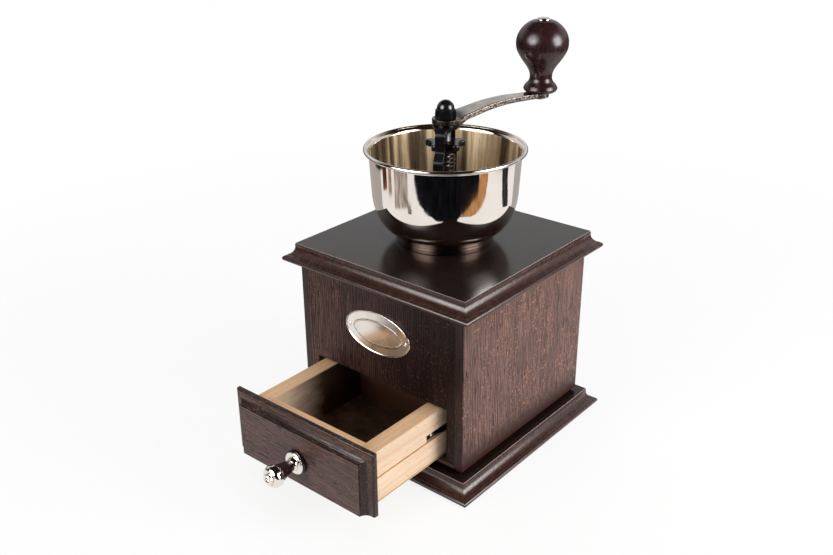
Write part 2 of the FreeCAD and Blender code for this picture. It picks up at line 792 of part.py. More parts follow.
arm_start = vec(-arm_hub_radius - 1, 0, arm_mid_z)
bend_start = vec(arm_flat, 0, arm_mid_z)
arm_edges = [line(arm_start, bend_start)]
edge, point = arm_arc(bend_start, 0, steep, arm_bend_radius, True)
arm_edges.append(edge)
edge, point = arm_arc(point, steep, mid, arm_near_radius, False)
arm_edges.append(edge)
run_end = point + vec(math.cos(mid), 0, math.sin(mid)) * arm_run
arm_edges.append(line(point, run_end))
edge, point = arm_arc(run_end, mid, 0, arm_far_radius, False)
arm_edges.append(edge)
arm_edges.append(line(point, vec(arm_reach + arm_eye_radius + 2, 0, point.z)))
eye_bottom = point.z - arm_thickness / 2
eye_top = point.z + arm_thickness / 2
arm_bar = strap(Part.Wire(arm_edges), 2 * arm_hub_radius + 2, arm_thickness)
neck_x = arm_reach - arm_eye_radius * 1.6
taper = polygon_face([vec(0, -arm_hub_radius, 0), vec(neck_x, -arm_neck, 0), vec(arm_reach, -arm_neck, 0),
                      vec(arm_reach, arm_neck, 0), vec(neck_x, arm_neck, 0), vec(0, arm_hub_radius, 0)])
taper = moved(taper.extrude(vec(0, 0, far)), 0, 0, arm_bottom - 1)
outline = taper.fuse([cylinder(arm_hub_radius, arm_bottom - 1, arm_bottom + far),
                      cylinder(arm_eye_radius, arm_bottom - 1, arm_bottom + far, arm_reach, 0)])
arm = arm_bar.common(outline.removeSplitter())
arm = arm.cut(cylinder(shaft_radius, arm_bottom - 1, arm_top + 1))
arm = arm.cut(cylinder(pin_radius, eye_bottom - 1, eye_top + 1, arm_reach, 0))
arm = about_z(arm, crank_angle)
knob_x, knob_y = ring_point(arm_reach, crank_angle)

# Cap nut
corner = nut_across_flats / math.sqrt(3)
hexagon = [vec(*ring_point(corner, away + 30 + 60 * k), nut_bottom) for k in range(6)]
nut = polygon_face(hexagon).extrude(vec(0, 0, nut_hex))
bevel = turned([(0, nut_bottom - 1), (corner, nut_bottom - 1), (corner, nut_bottom + nut_hex - 0.5),
                (nut_across_flats / 2, nut_bottom + nut_hex), (0, nut_bottom + nut_hex)])
nut = nut.common(bevel)
dome_z = nut_bottom + nut_height - nut_dome_radius
dome_mid = math.sqrt(0.5) * nut_dome_radius
dome = turned_edges([line(vec(0, 0, nut_bottom + 1), vec(nut_dome_radius, 0, nut_bottom + 1)),
                     line(vec(nut_dome_radius, 0, nut_bottom + 1), vec(nut_dome_radius, 0, dome_z)),
                     arc(vec(nut_dome_radius, 0, dome_z), vec(dome_mid, 0, dome_z + dome_mid),
                         vec(0, 0, dome_z + nut_dome_radius)),
                     line(vec(0, 0, dome_z + nut_dome_radius), vec(0, 0, nut_bottom + 1))])
nut = nut.fuse(dome).removeSplitter().cut(shaft)

# Crank knob: turned wood that spins on a rivet pin
knob_bottom = eye_top + knob_gap
flare_z = knob_bottom + knob_flare_level
neck_of_knob = vec(knob_neck_radius, 0, knob_bottom + knob_neck_level)
ball = vec(knob_ball_radius, 0, knob_bottom + knob_ball_level)
crown = vec(pin_cap_radius, 0, knob_bottom + knob_height)
flare = vec(knob_flare_radius, 0, flare_z)
lower = Part.BSplineCurve()
lower.interpolate(Points=[flare, neck_of_knob, ball], Tangents=[vec(-6, 0, 2.4), vec(0, 0, 8), vec(0, 0, 18)],
                  TangentFlags=[True, True, True])
upper_points = []
for step in range(1, 7):
    angle = math.radians(90 * step / 6)
    rise = knob_height - knob_ball_level
    reach = pin_cap_radius + (knob_ball_radius - pin_cap_radius) * math.cos(angle)
    squared = knob_ball_radius * math.cos(angle)
    x = max(reach, squared)
    upper_points.append(vec(x, 0, ball.z + rise * math.sin(angle)))
upper = Part.BSplineCurve()
upper.interpolate(Points=[ball] + upper_points, InitialTangent=vec(0, 0, 1), FinalTangent=vec(-1, 0, -0.1))
knob_edges = [line(vec(pin_radius + running_clearance, 0, knob_bottom), vec(knob_base_radius, 0, knob_bottom)),
              line(vec(knob_base_radius, 0, knob_bottom), flare), lower.toShape(), upper.toShape(),
              line(crown, vec(pin_radius + running_clearance, 0, crown.z)),
              line(vec(pin_radius + running_clearance, 0, crown.z), vec(pin_radius + running_clearance, 0, knob_bottom))]
knob = moved(turned_edges(knob_edges), knob_x, knob_y, 0)
pin_seat = crown.z + running_clearance
pin_top = pin_seat + pin_cap_height
tail_z = eye_bottom - pin_tail_height
pin_corners = [(pin_tail_radius, tail_z + 0.8), (pin_tail_radius, eye_bottom), (pin_radius, eye_bottom),
               (pin_radius, pin_seat), (pin_cap_radius, pin_seat), (pin_cap_radius, pin_seat + 0.3)]
pin_corners = [vec(r, 0, z) for r, z in pin_corners]
pin_edges = [line(a, b) for a, b in zip(pin_corners, pin_corners[1:])]
pin_edges.append(cap_arc(pin_cap_radius, pin_seat + 0.3, pin_top))
pin_edges.append(line(vec(0, 0, pin_top), vec(0, 0, tail_z)))
pin_edges.append(cap_arc(pin_tail_radius, tail_z + 0.8, tail_z))
pin_edges = Part.__sortEdges__(pin_edges)
pin = moved(turned_edges(pin_edges), knob_x, knob_y, 0)

# Badge: an oval plate with a raised rim and a raised inner line, held by two pins
badge_face_y = front_y - badge_thickness


def oval(half_length, half_height, y0, y1):
    """Upright oval slab between two planes of y."""
    curve = Part.Ellipse(vec(0, 0, 0), half_length, half_height)
    slab = Part.Face(Part.Wire([curve.toShape()])).extrude(vec(0, 0, y1 - y0))
    slab.rotate(origin, vec(1, 0, 0), 90)
    return moved(slab, 0, y1, badge_level)


def oval_ring(inset, width, height):
    outer = oval(badge_half_length - inset, badge_half_height - inset, badge_face_y - height, badge_face_y)
    inner = oval(badge_half_length - inset - width, badge_half_height - inset - width,
                 badge_face_y - height - 1, badge_face_y + 1)
    return outer.cut(inner)


badge = oval(badge_half_length, badge_half_height, badge_face_y, front_y)
badge = badge.fuse([oval_ring(0, badge_rim_width, badge_rim_height),
                    oval_ring(badge_band, badge_line, badge_rim_height)]).removeSplitter()
badge_pins = []
for sign in (-1, 1):
    pin_shape = pan_screw(0, 0, 0, pin_shank_radius, pin_head_radius, pin_head_height, pin_length, 0)
    pin_shape = pin_shape.fuse(cylinder(pin_head_radius, 0, pin_head_height * 0.45)).removeSplitter()
    pin_shape.rotate(origin, vec(1, 0, 0), 90)
    pin_shape = moved(pin_shape, sign * pin_offset, badge_face_y, badge_level)
    badge_pins.append(pin_shape)
    badge = badge.cut(pin_shape)
    front = front.cut(pin_shape)

# Drawer front: moulded on its top and sides, with a step that enters the opening
panel_half = drawer_half + panel_overlap
lip_drop = lip_thickness


def side_place(sign):
    def place(out, back):
        return vec(sign * (panel_half + out), panel_front + back, panel_bottom)
    return place


def top_place(out, back):
    return vec(-far / 2, panel_front + back, panel_top + out)


edges_l, start_l, end_l = moulding(side_place(-1), lip_width, lip_drop, lip_edge, lip_round)
edges_r, start_r, end_r = moulding(side_place(1), lip_width, lip_drop, lip_edge, lip_round)
sides_face = edges_l + [line(start_l, start_r)] + edges_r + [line(end_l, end_r)]
sides_bar = Part.Face(Part.Wire(Part.__sortEdges__(sides_face))).extrude(vec(0, 0, far))
edges_t, start_t, end_t = moulding(top_place, lip_width, lip_drop, lip_edge, lip_round)
low_front = vec(-far / 2, panel_front, panel_bottom)
low_back = vec(-far / 2, lip_back, panel_bottom)
top_face = edges_t + [line(start_t, low_front), line(low_front, low_back), line(low_back, end_t)]
top_bar = Part.Face(Part.Wire(Part.__sortEdges__(top_face))).extrude(vec(far, 0, 0))
board = sides_bar.common(top_bar)

# Drawer box
ply_top = drawer_bottom_z + plywood
inner_drawer = drawer_half - drawer_wall
drawer_side = box(inner_drawer, drawer_half, box_front, box_back, ply_top, drawer_top)
slot_low = slot_z - slot_height / 2
drawer_side = drawer_side.cut(box(drawer_half - kerf_depth, drawer_half + 1, box_front - 1, slot_front,
                                  slot_low, slot_low + kerf_height))
drawer_side = drawer_side.cut(box(drawer_half - slot_depth, drawer_half + 1, slot_front, box_back + 1,
                                  slot_low, slot_low + slot_height))
inner_front = box(-inner_drawer, inner_drawer, box_front, box_front + inner_front_wall, ply_top, drawer_top)
drawer_back = box(-inner_drawer, inner_drawer, box_back - drawer_back_wall, box_back, ply_top, drawer_top - back_drop)
ply_half = drawer_half - plywood_inset
drawer_bottom = box(-ply_half, ply_half, box_front, box_back, drawer_bottom_z, ply_top)

# Leaf springs in the drawer's side slots, each bowed outwards and held by a screw
leaf_x = drawer_half - slot_depth
bow = slot_depth + leaf_reach - leaf_thickness
y0 = slot_front + 0.4
y1 = y0 + leaf_flat
y2 = y1 + leaf_bow
y3 = y2 + leaf_tail
leaf_low = slot_z - leaf_height / 2
ym = (y1 + y2) / 2


def leaf_line(shift):
    a = vec(leaf_x + shift, y0, leaf_low)
    b = vec(leaf_x + shift, y1, leaf_low)
    m = vec(leaf_x + shift + bow, ym, leaf_low)
    c = vec(leaf_x + shift, y2, leaf_low)
    d = vec(leaf_x + shift, y3, leaf_low)
    return [line(a, b), arc(b, m, c), line(c, d)], a, d


inside, a_in, d_in = leaf_line(0)
outside, a_out, d_out = leaf_line(leaf_thickness)
leaf_wire = Part.Wire(Part.__sortEdges__(inside + outside + [line(a_in, a_out), line(d_in, d_out)]))
leaf = Part.Face(leaf_wire).extrude(vec(0, 0, leaf_height))
leaf_screw = pan_screw(0, 0, 0, 0.9, 1.4, 0.8, 5.0, 25)
leaf_screw.rotate(origin, vec(0, 1, 0), 90)
leaf_screw = moved(leaf_screw, leaf_x + leaf_thickness, y0 + leaf_flat * 0.55, slot_z)
leaf = leaf.cut(leaf_screw)
drawer_side = drawer_side.cut(leaf_screw)

# Drawer pull: rose, tapered wooden stem and a stepped cap on one bolt
backing_end = pull_backing_thickness
flange_end = backing_end + rose_flange
collar = stem_small + stem_inset
rose_end = flange_end + math.sqrt(rose_dome ** 2 - collar ** 2)
stem_end = rose_end + stem_length
cap_start = stem_end
cap_end = cap_start + cap_height
bulge_end = cap_end - cap_boss_height
bolt_tip = cap_end - 2 * cap_hole_depth


def pull_piece(points, bends=()):
    """Turned piece of the pull from (radius, distance out from the panel) points. A bend names a point
    that the run before and after it passes through in one arc."""
    places = [vec(r, 0, z) for r, z in points]
    edges = []
    index = 0
    while index < len(places):
        following = places[(index + 1) % len(places)]
        if index + 1 in bends:
            edges.append(arc(places[index], following, places[(index + 2) % len(places)]))
            index += 2
        else:
            edges.append(line(places[index], following))
            index += 1
    shape = turned_edges(edges)
    shape.rotate(origin, vec(1, 0, 0), 90)
    return moved(shape, 0, panel_front, pull_z)


pull_backing = pull_piece([(bolt_radius, 0), (pull_backing_radius, 0), (pull_backing_radius, backing_end * 0.7),
                           (pull_backing_radius - 0.5, backing_end), (bolt_radius, backing_end)])
dome_half = math.acos(collar / rose_dome) / 2
pull_rose = pull_piece([(bolt_radius, backing_end), (rose_radius, backing_end),
                        (rose_radius, flange_end - 0.3), (rose_radius - 0.3, flange_end), (rose_dome, flange_end),
                        (rose_dome * math.cos(dome_half), flange_end + rose_dome * math.sin(dome_half)),
                        (collar, rose_end), (bolt_radius, rose_end)], bends=(5,))
pull_stem = pull_piece([(bolt_radius, rose_end), (stem_small, rose_end), (stem_large, stem_end - 1),
                        (stem_large, stem_end), (bolt_radius, stem_end)])
shoulder_in = cap_boss + cap_groove
shoulder = cap_radius - shoulder_in
shoulder_mid = shoulder * math.sqrt(0.5)
pull_cap = pull_piece([(bolt_radius, cap_start), (stem_large + 0.2, cap_start), (cap_radius - 0.5, cap_start + 0.4),
                       (cap_radius, cap_start + 1.2), (cap_radius, bulge_end - shoulder),
                       (shoulder_in + shoulder_mid, bulge_end - shoulder + shoulder_mid), (shoulder_in, bulge_end),
                       (shoulder_in - 0.1, bulge_end - 0.4), (cap_boss, bulge_end - 0.4),
                       (cap_boss, cap_end - 0.5), (cap_boss - 0.15, cap_end - 0.15), (cap_boss - 0.5, cap_end),
                       (cap_hole, cap_end), (cap_hole, cap_end - cap_hole_depth), (0, cap_end - cap_hole_depth),
                       (0, bolt_tip), (bolt_radius, bolt_tip)], bends=(5, 10))
bolt_inside = box_front + inner_front_wall
bolt_out = -(bolt_inside - panel_front)
pull_bolt = pull_piece([(0, bolt_out - bolt_head_height), (bolt_head_radius - 0.8, bolt_out - bolt_head_height),
                        (bolt_head_radius, bolt_out - bolt_head_height * 0.5), (bolt_head_radius, bolt_out),
                        (bolt_radius, bolt_out), (bolt_radius, bolt_tip), (0, bolt_tip)])
bolt_hole = pull_piece([(0, bolt_out - 5), (bolt_radius, bolt_out - 5), (bolt_radius, 1), (0, 1)])
board = board.cut(bolt_hole)
inner_front = inner_front.cut(bolt_hole)

keep("base_plate", base)
keep("floor_board", floor)
keep("side_panel_left", side_left)
keep("side_panel_right", side_right)
keep("front_panel", front)
keep("back_panel", back)
keep("drawer_guide_left", mirrored_x(guide))
keep("drawer_guide_right", guide)
keep("top_plate", top)
keep("hopper_bowl", bowl)
keep("bowl_foot", foot)
keep("burr_ring", ring)
keep("bearing_frame", frame)
keep("thrust_washer", thrust_washer)
keep("tension_spring", spring)
keep("bridge", bridge)
keep("upper_bush", upper_bush)
for index, screw in enumerate(screws):
    keep("mechanism_screw_" + str(index + 1), screw)
keep("lower_strap", lower_strap)
keep("strap_screw_left", strap_screws[0])
keep("strap_screw_right", strap_screws[1])
keep("badge", badge)
keep("badge_pin_left", badge_pins[0])
keep("badge_pin_right", badge_pins[1])
for index, screw in enumerate(base_screws):
    keep("base_screw_" + str(index + 1), screw)
keep("lower_bush", lower_bush)
keep("main_shaft", shaft)
keep("retaining_ring", ring_clip)
keep("burr_cone", cone)
keep("crank_arm", arm)
keep("cap_nut", nut)
keep("knob_pin", pin)
keep("crank_knob", knob)
keep("star_wheel", wheel)
keep("drawer_front", board)
keep("drawer_inner_front", inner_front)
keep("drawer_side_left", mirrored_x(drawer_side))
keep("drawer_side_right", drawer_side)
keep("drawer_back", drawer_back)
keep("drawer_bottom", drawer_bottom)
keep("pull_backing", pull_backing)
keep("pull_rose", pull_rose)
keep("pull_stem", pull_stem)
keep("pull_cap", pull_cap)
keep("pull_bolt", pull_bolt)
keep("friction_spring_left", mirrored_x(leaf))
keep("friction_spring_right", leaf)
keep("spring_screw_left", mirrored_x(leaf_screw))
keep("spring_screw_right", leaf_screw)

os.makedirs("parts", exist_ok=True)
for name, shape in parts.items():
    shape.exportStep("parts/" + name + ".step")
whole = Part.makeCompound(list(parts.values()))
size = whole.BoundBox
print("nodes", len(parts), "size", round(size.XLength, 2), round(size.YLength, 2), round(size.ZLength, 2))
print("eye height", round(eye_bottom, 2), "drawer travel back", drawer_out, "lift", lift_range)
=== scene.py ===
"""Manual coffee grinder: a wooden box mill with a nickel bowl, a hand crank and a drawer."""

import functools
import math
import random

import bmesh
import bpy
from bpy.props import FloatProperty, FloatVectorProperty, IntProperty, PointerProperty
from mathutils import Matrix, Vector


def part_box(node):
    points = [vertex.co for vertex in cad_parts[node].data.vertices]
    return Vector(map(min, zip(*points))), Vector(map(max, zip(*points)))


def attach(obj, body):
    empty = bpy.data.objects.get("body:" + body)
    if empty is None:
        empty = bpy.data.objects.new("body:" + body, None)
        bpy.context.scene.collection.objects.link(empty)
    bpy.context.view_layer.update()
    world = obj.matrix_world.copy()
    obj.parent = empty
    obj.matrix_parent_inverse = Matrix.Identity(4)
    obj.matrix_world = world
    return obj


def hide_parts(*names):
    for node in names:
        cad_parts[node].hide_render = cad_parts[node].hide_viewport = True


bl_info = {
    "name": "Manual coffee grinder",
    "version": (1, 0, 0),
    "blender": (4, 5, 0),
    "location": "View3D > Sidebar > Grinder",
    "description": "Builds the visible pieces and the studio of a hand cranked wooden coffee mill",
    "category": "Object",
}

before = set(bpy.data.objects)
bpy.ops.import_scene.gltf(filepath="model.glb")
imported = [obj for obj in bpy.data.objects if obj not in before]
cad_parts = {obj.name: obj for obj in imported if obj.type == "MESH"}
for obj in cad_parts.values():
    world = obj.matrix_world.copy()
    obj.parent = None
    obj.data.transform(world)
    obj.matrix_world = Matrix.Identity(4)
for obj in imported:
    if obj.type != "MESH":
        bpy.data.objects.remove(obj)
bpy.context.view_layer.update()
MM = 0.001
# The cap nut and the star wheel are turned by this many degrees
NUT_TURN = 128.1
ZINC = ("Zinc plated screws", "#B8B8B8", "#8E9092", 0.32, 0.8, 0.05)

ColourProperty = functools.partial(FloatVectorProperty, size=4, min=0, max=1, subtype="COLOR")
LengthProperty = functools.partial(FloatProperty, unit="LENGTH", subtype="DISTANCE")
PowerProperty = functools.partial(FloatProperty, unit="POWER", min=0.0)
ShareProperty = functools.partial(FloatProperty, min=0.0, max=1.0)


def linear(code):
    """Linear RGBA of an sRGB hex colour such as #A08060."""
    channels = []
    for start in (1, 3, 5):
        value = int(code[start:start + 2], 16) / 255
        channels.append(value / 12.92 if value <= 0.04045 else ((value + 0.055) / 1.055) ** 2.4)
    return (*channels, 1.0)


def low(node):
    """Lowest corner of a CAD node in mm."""
    return Vector(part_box(node)[0]) / MM


def high(node):
    """Highest corner of a CAD node in mm."""
    return Vector(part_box(node)[1]) / MM


class GrinderShape(bpy.types.PropertyGroup):
    """Sizes of the pieces that are made here."""
    edge_round: LengthProperty(
        name="Edge rounding", description="Radius of the eased edges of sawn boards", default=0.0003, min=0.0)
    sheet: LengthProperty(
        name="Bowl sheet", description="Thickness of the bowl's sheet metal", default=0.0008, min=0.0003)
    bead: LengthProperty(
        name="Rim bead", description="Radius of the bowl's rolled rim", default=0.00105, min=0.0004)
    badge_crown: LengthProperty(
        name="Badge crown", description="How far the middle of the badge swells", default=0.00025, min=0.0)
    turns: IntProperty(name="Turning steps", description="Steps round a turned piece", default=192, min=24)


class GrinderWood(bpy.types.PropertyGroup):
    """Colours and grain of the woods."""
    oak: ColourProperty(
        name="Stained oak", description="Ground colour of the dark oak", default=linear("#2C1813"))
    oak_light: ColourProperty(
        name="Oak early wood", description="Lighter lines of the dark oak", default=linear("#966C62"))
    oak_pore: ColourProperty(name="Oak pores", description="Dark pores of the oak", default=linear("#180C09"))
    oak_ray: ColourProperty(
        name="Oak rays", description="Ray flecks that take less stain", default=linear("#BC805A"))
    beech: ColourProperty(
        name="Beech", description="Ground colour of the drawer's beech", default=linear("#DEC6AC"))
    beech_dark: ColourProperty(
        name="Beech late wood", description="Darker lines of the beech", default=linear("#CFA686"))
    line_spacing: LengthProperty(
        name="Line spacing", description="Spacing of the oak's fine lines", default=0.0014, min=0.0001)
    ray_length: LengthProperty(
        name="Ray length", description="Length of the oak's ray flecks", default=0.0018, min=0.0005)


class GrinderMetal(bpy.types.PropertyGroup):
    """Colours and polish of the metals."""
    nickel: ColourProperty(
        name="Nickel", description="Reflection colour of the nickel plate", default=linear("#EFE7DE"))
    nickel_roughness: ShareProperty(
        name="Nickel roughness", description="Micro roughness of the polished plate", default=0.05)
    black: ColourProperty(
        name="Black oxide", description="Colour of the blackened steel", default=linear("#141416"))
    black_roughness: ShareProperty(
        name="Black roughness", description="Roughness of the blackened steel", default=0.17)


class GrinderStudio(bpy.types.PropertyGroup):
    """Floor, lamps and camera."""
    floor: ColourProperty(name="Floor", description="Colour of the floor", default=linear("#F4F4F3"))
    left_power: PowerProperty(
        name="Left softbox", description="Power of the softbox left of the camera", default=5.0)
    right_power: PowerProperty(
        name="Right softbox", description="Power of the softbox right of the camera", default=13.0)
    back_power: PowerProperty(
        name="Back fill", description="Power of the soft light behind the mill", default=3.5)
    top_power: PowerProperty(name="Top light", description="Power of the overhead light", default=5.0)
    ambient: FloatProperty(
        name="Ambient level", description="Strength of the light from all round", default=0.2, min=0.0)
    lens: FloatProperty(
        name="Lens", description="Focal length in mm on a 36 mm sensor", default=42.17, min=1.0)


# Mesh helpers, all in millimetres

def arc_points(x, y, radius, start, end, steps):
    """Points on an arc from one angle to another, in degrees."""
    points = []
    for index in range(steps + 1):
        angle = math.radians(start + (end - start) * index / steps)
        points.append((x + radius * math.cos(angle), y + radius * math.sin(angle)))
    return points


def eased(points, radius, steps=4):
    """The open outline with each inner corner rounded, less where its sides are short."""
    result = [points[0]]
    for before, corner, after in zip(points, points[1:], points[2:]):
        c = Vector(corner)
        a = Vector(before) - c
        b = Vector(after) - c
        reach = min(radius, a.length * 0.45, b.length * 0.45)
        if reach < 1e-6 or abs(a.normalized().dot(b.normalized())) > 0.9999:
            result.append(corner)
            continue
        p = c + a.normalized() * reach
        q = c + b.normalized() * reach
        for index in range(steps + 1):
            t = index / steps
            point = p * (1 - t) ** 2 + c * 2 * t * (1 - t) + q * t ** 2
            result.append((point.x, point.y))
    result.append(points[-1])
    return result


def smooth_through(points, steps=8):
    """A smooth open line through given points, by Catmull-Rom."""
    ends = [points[0]] + list(points) + [points[-1]]
    result = []
    for a, b, c, d in zip(ends, ends[1:], ends[2:], ends[3:]):
        a, b, c, d = Vector(a), Vector(b), Vector(c), Vector(d)
        for index in range(steps):
            t = index / steps
            point = 0.5 * (2 * b + (c - a) * t + (2 * a - 5 * b + 4 * c - d) * t * t
                           + (3 * b - a - 3 * c + d) * t ** 3)
            result.append(tuple(point))
    result.append(tuple(points[-1]))
    return result


def turned(profile, turns, x=0.0, y=0.0, closed=False):
    """Vertices and faces of a turned piece about an upright axis, from (radius, height) points."""
    verts = []
    rows = []
    for radius, height in profile:
        if radius < 1e-6:
            rows.append([len(verts)])
            verts.append((x, y, height))
            continue
        rows.append(list(range(len(verts), len(verts) + turns)))
        for index in range(turns):
            angle = 2 * math.pi * index / turns
            verts.append((x + radius * math.cos(angle), y + radius * math.sin(angle), height))
    faces = []
    pairs = list(zip(rows, rows[1:]))
    if closed:
        pairs.append((rows[-1], rows[0]))
    for lower, upper in pairs:
        if len(lower) == 1 and len(upper) == 1:
            continue
        for index in range(turns):
            following = (index + 1) % turns
            if len(lower) == 1:
                faces.append((lower[0], upper[following], upper[index]))
            elif len(upper) == 1:
                faces.append((lower[index], lower[following], upper[0]))
            else:
                faces.append((lower[index], lower[following], upper[following], upper[index]))
    return verts, faces


def rings(outlines, caps=True):
    """Faces between closed outlines of equal length, with an end cap at each end."""
    verts = [point for outline in outlines for point in outline]
    count = len(outlines[0])
    faces = []
    for row in range(len(outlines) - 1):
        for index in range(count):
            following = (index + 1) % count
            a = row * count
            b = a + count
            faces.append((a + index, a + following, b + following, b + index))
    if caps:
        faces.append(tuple(reversed(range(count))))
        faces.append(tuple(range(len(verts) - count, len(verts))))
    return verts, faces


def strap_section(half_width, half_thick, rounding, steps=4):
    """Closed outline of a flat bar with rounded edges, as (across, up) points."""
    rounding = min(rounding, half_width * 0.95, half_thick * 0.95)
    points = []
    for sx, sy, start in ((1, 1, 0), (-1, 1, 90), (-1, -1, 180), (1, -1, 270)):
        cx = sx * (half_width - rounding)
        cy = sy * (half_thick - rounding)
        points += arc_points(cx, cy, rounding, start, start + 90, steps)
    return points


def strap(path, half_widths, thickness, rounding):
    """Flat bar along a path of (distance, height) points, with a half width at each."""
    outlines = []
    for index, (d, z) in enumerate(path):
        before = Vector(path[max(index - 1, 0)])
        after = Vector(path[min(index + 1, len(path) - 1)])
        along = (after - before).normalized()
        up = Vector((-along.y, along.x))
        outline = []
        for across, rise in strap_section(half_widths[index], thickness / 2, rounding):
            outline.append((d + up.x * rise, across, z + up.y * rise))
        outlines.append(outline)
    return rings(outlines)


def spun(verts, degrees):
    """The points turned about the upright axis."""
    turn = Matrix.Rotation(math.radians(degrees), 3, "Z")
    return [tuple(turn @ Vector(v)) for v in verts]


def piece(name, verts, faces, body, material, replaces=(), angle=32.0):
    """A new piece from points in mm, riding on its body and standing for its CAD nodes."""
    mesh = bpy.data.meshes.new(name)
    mesh.from_pydata([tuple(c * MM for c in v) for v in verts], [], faces)
    work = bmesh.new()
    work.from_mesh(mesh)
    bmesh.ops.remove_doubles(work, verts=work.verts, dist=1e-7)
    bmesh.ops.recalc_face_normals(work, faces=work.faces)
    work.to_mesh(mesh)
    work.free()
    mesh.shade_smooth()
    mesh.set_sharp_from_angle(angle=math.radians(angle))
    obj = bpy.data.objects.new(name, mesh)
    bpy.context.scene.collection.objects.link(obj)
    mesh.materials.append(material)
    # Walls and flat faces keep a straight reflection up to their small roundings
    flat = obj.modifiers.new("Straight walls", "WEIGHTED_NORMAL")
    flat.keep_sharp = True
    flat.weight = 80
    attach(obj, body)
    if replaces:
        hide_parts(*replaces)
    return obj


def dress(node, material, rounding=0.0):
    """Gives a CAD node its material and, where asked, eased edges."""
    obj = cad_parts[node]
    obj.data.materials.clear()
    obj.data.materials.append(material)
    if rounding:
        weld = obj.modifiers.new("Join faces", "WELD")
        weld.merge_threshold = 1e-6
        bevel = obj.modifiers.new("Eased edges", "BEVEL")
        bevel.width = rounding
        bevel.segments = 2
        bevel.limit_method = "ANGLE"
        bevel.angle_limit = math.radians(40)
        bevel.harden_normals = False


# Materials

EACH = slice(None)


def fill(socket, value):
    """Gives an input its value, or links it to the socket that feeds it."""
    if isinstance(value, bpy.types.NodeSocket):
        socket.id_data.links.new(value, socket)
    else:
        socket.default_value = value


def add_node(tree, kind, *values, named=None, stops=(), output=0, **settings):
    """Adds one node with its settings and links. The inputs in use are filled in order, or by name, and one
    of the outputs in use is given back, by its place or by its name."""
    node = tree.nodes.new("ShaderNode" + kind)
    for name, value in settings.items():
        setattr(node, name, value)
    for place, (position, code) in enumerate(stops):
        elements = node.color_ramp.elements
        element = elements[place] if place < len(elements) else elements.new(position)
        element.position = position
        element.color = linear(code)
    for socket, value in zip([socket for socket in node.inputs if socket.enabled], values):
        fill(socket, value)
    for name, value in (named or {}).items():
        fill(node.inputs[name], value)
    if isinstance(output, str):
        return node.outputs[output]
    return [socket for socket in node.outputs if socket.enabled][output]


def surface(build):
    """Turns a function that works out what feeds the shader, or a shader of its own, into one that makes a
    material. Asked for the same name again, it gives back the same material."""
    @functools.wraps(build)
    def made(name, *values, **choices):
        material = bpy.data.materials.get(name)
        if material is None:
            material = bpy.data.materials.new(name)
            material.use_nodes = True
            tree = material.node_tree
            shader = tree.nodes["Principled BSDF"]
            result = build(functools.partial(add_node, tree), *values, **choices)
            if isinstance(result, dict):
                for socket, value in result.items():
                    fill(shader.inputs[socket], value)
            else:
                tree.nodes.remove(shader)
                fill(tree.nodes["Material Output"].inputs["Surface"], result)
        return material
    return made


def grey(level):
    return (level, level, level, 1.0)


def scaled(colour, amount):
    """The linear colour made lighter or darker."""
    return (*(channel * amount for channel in colour[:3]), 1.0)


def parts(add, kind):
    """X, y and z of a point of the object in metres, or of its normal."""
    return add("SeparateXYZ", add("TexCoord", output=kind), output=EACH)


def grain_space(add, grain):
    """Object coordinates in mm, turned so that the grain runs along the third one."""
    quarter = math.pi / 2
    turn = {"X": (0.0, quarter, 0.0), "Y": (quarter, 0.0, 0.0), "Z": (0.0, 0.0, 0.0)}[grain]
    return add("Mapping", add("TexCoord", output="Object"), (0.0, 0.0, 0.0), turn, (1 / MM, 1 / MM, 1 / MM))


def stretched(add, space, across, along, seed, tilt=0.0):
    """Coordinates in which one unit is so many mm across and along the grain."""
    return add("Mapping", space, (seed, seed * 1.7, seed * 0.6), (tilt, tilt, 0.0),
               (1 / across, 1 / across, 1 / along))


def patches(add, space, across, along, seed, detail=2.0, roughness=0.5, span=None, levels=(0.0, 1.0),
            tilt=0.0):
    """Soft noise in cells of so many mm across and along the grain, with one span of it taken to two
    levels."""
    noise = add("TexNoise", stretched(add, space, across, along, seed, tilt), 1.0, detail, roughness)
    return add("MapRange", noise, *span, *levels) if span else noise


def wandering(add, space, across, along, seed, reach):
    """The coordinates in mm, pushed about by soft noise as far as the reach."""
    sway = add("TexNoise", stretched(add, space, across, along, seed), 1.0, 1.0, output="Color")
    return add("VectorMath", sway, reach, space, operation="MULTIPLY_ADD")


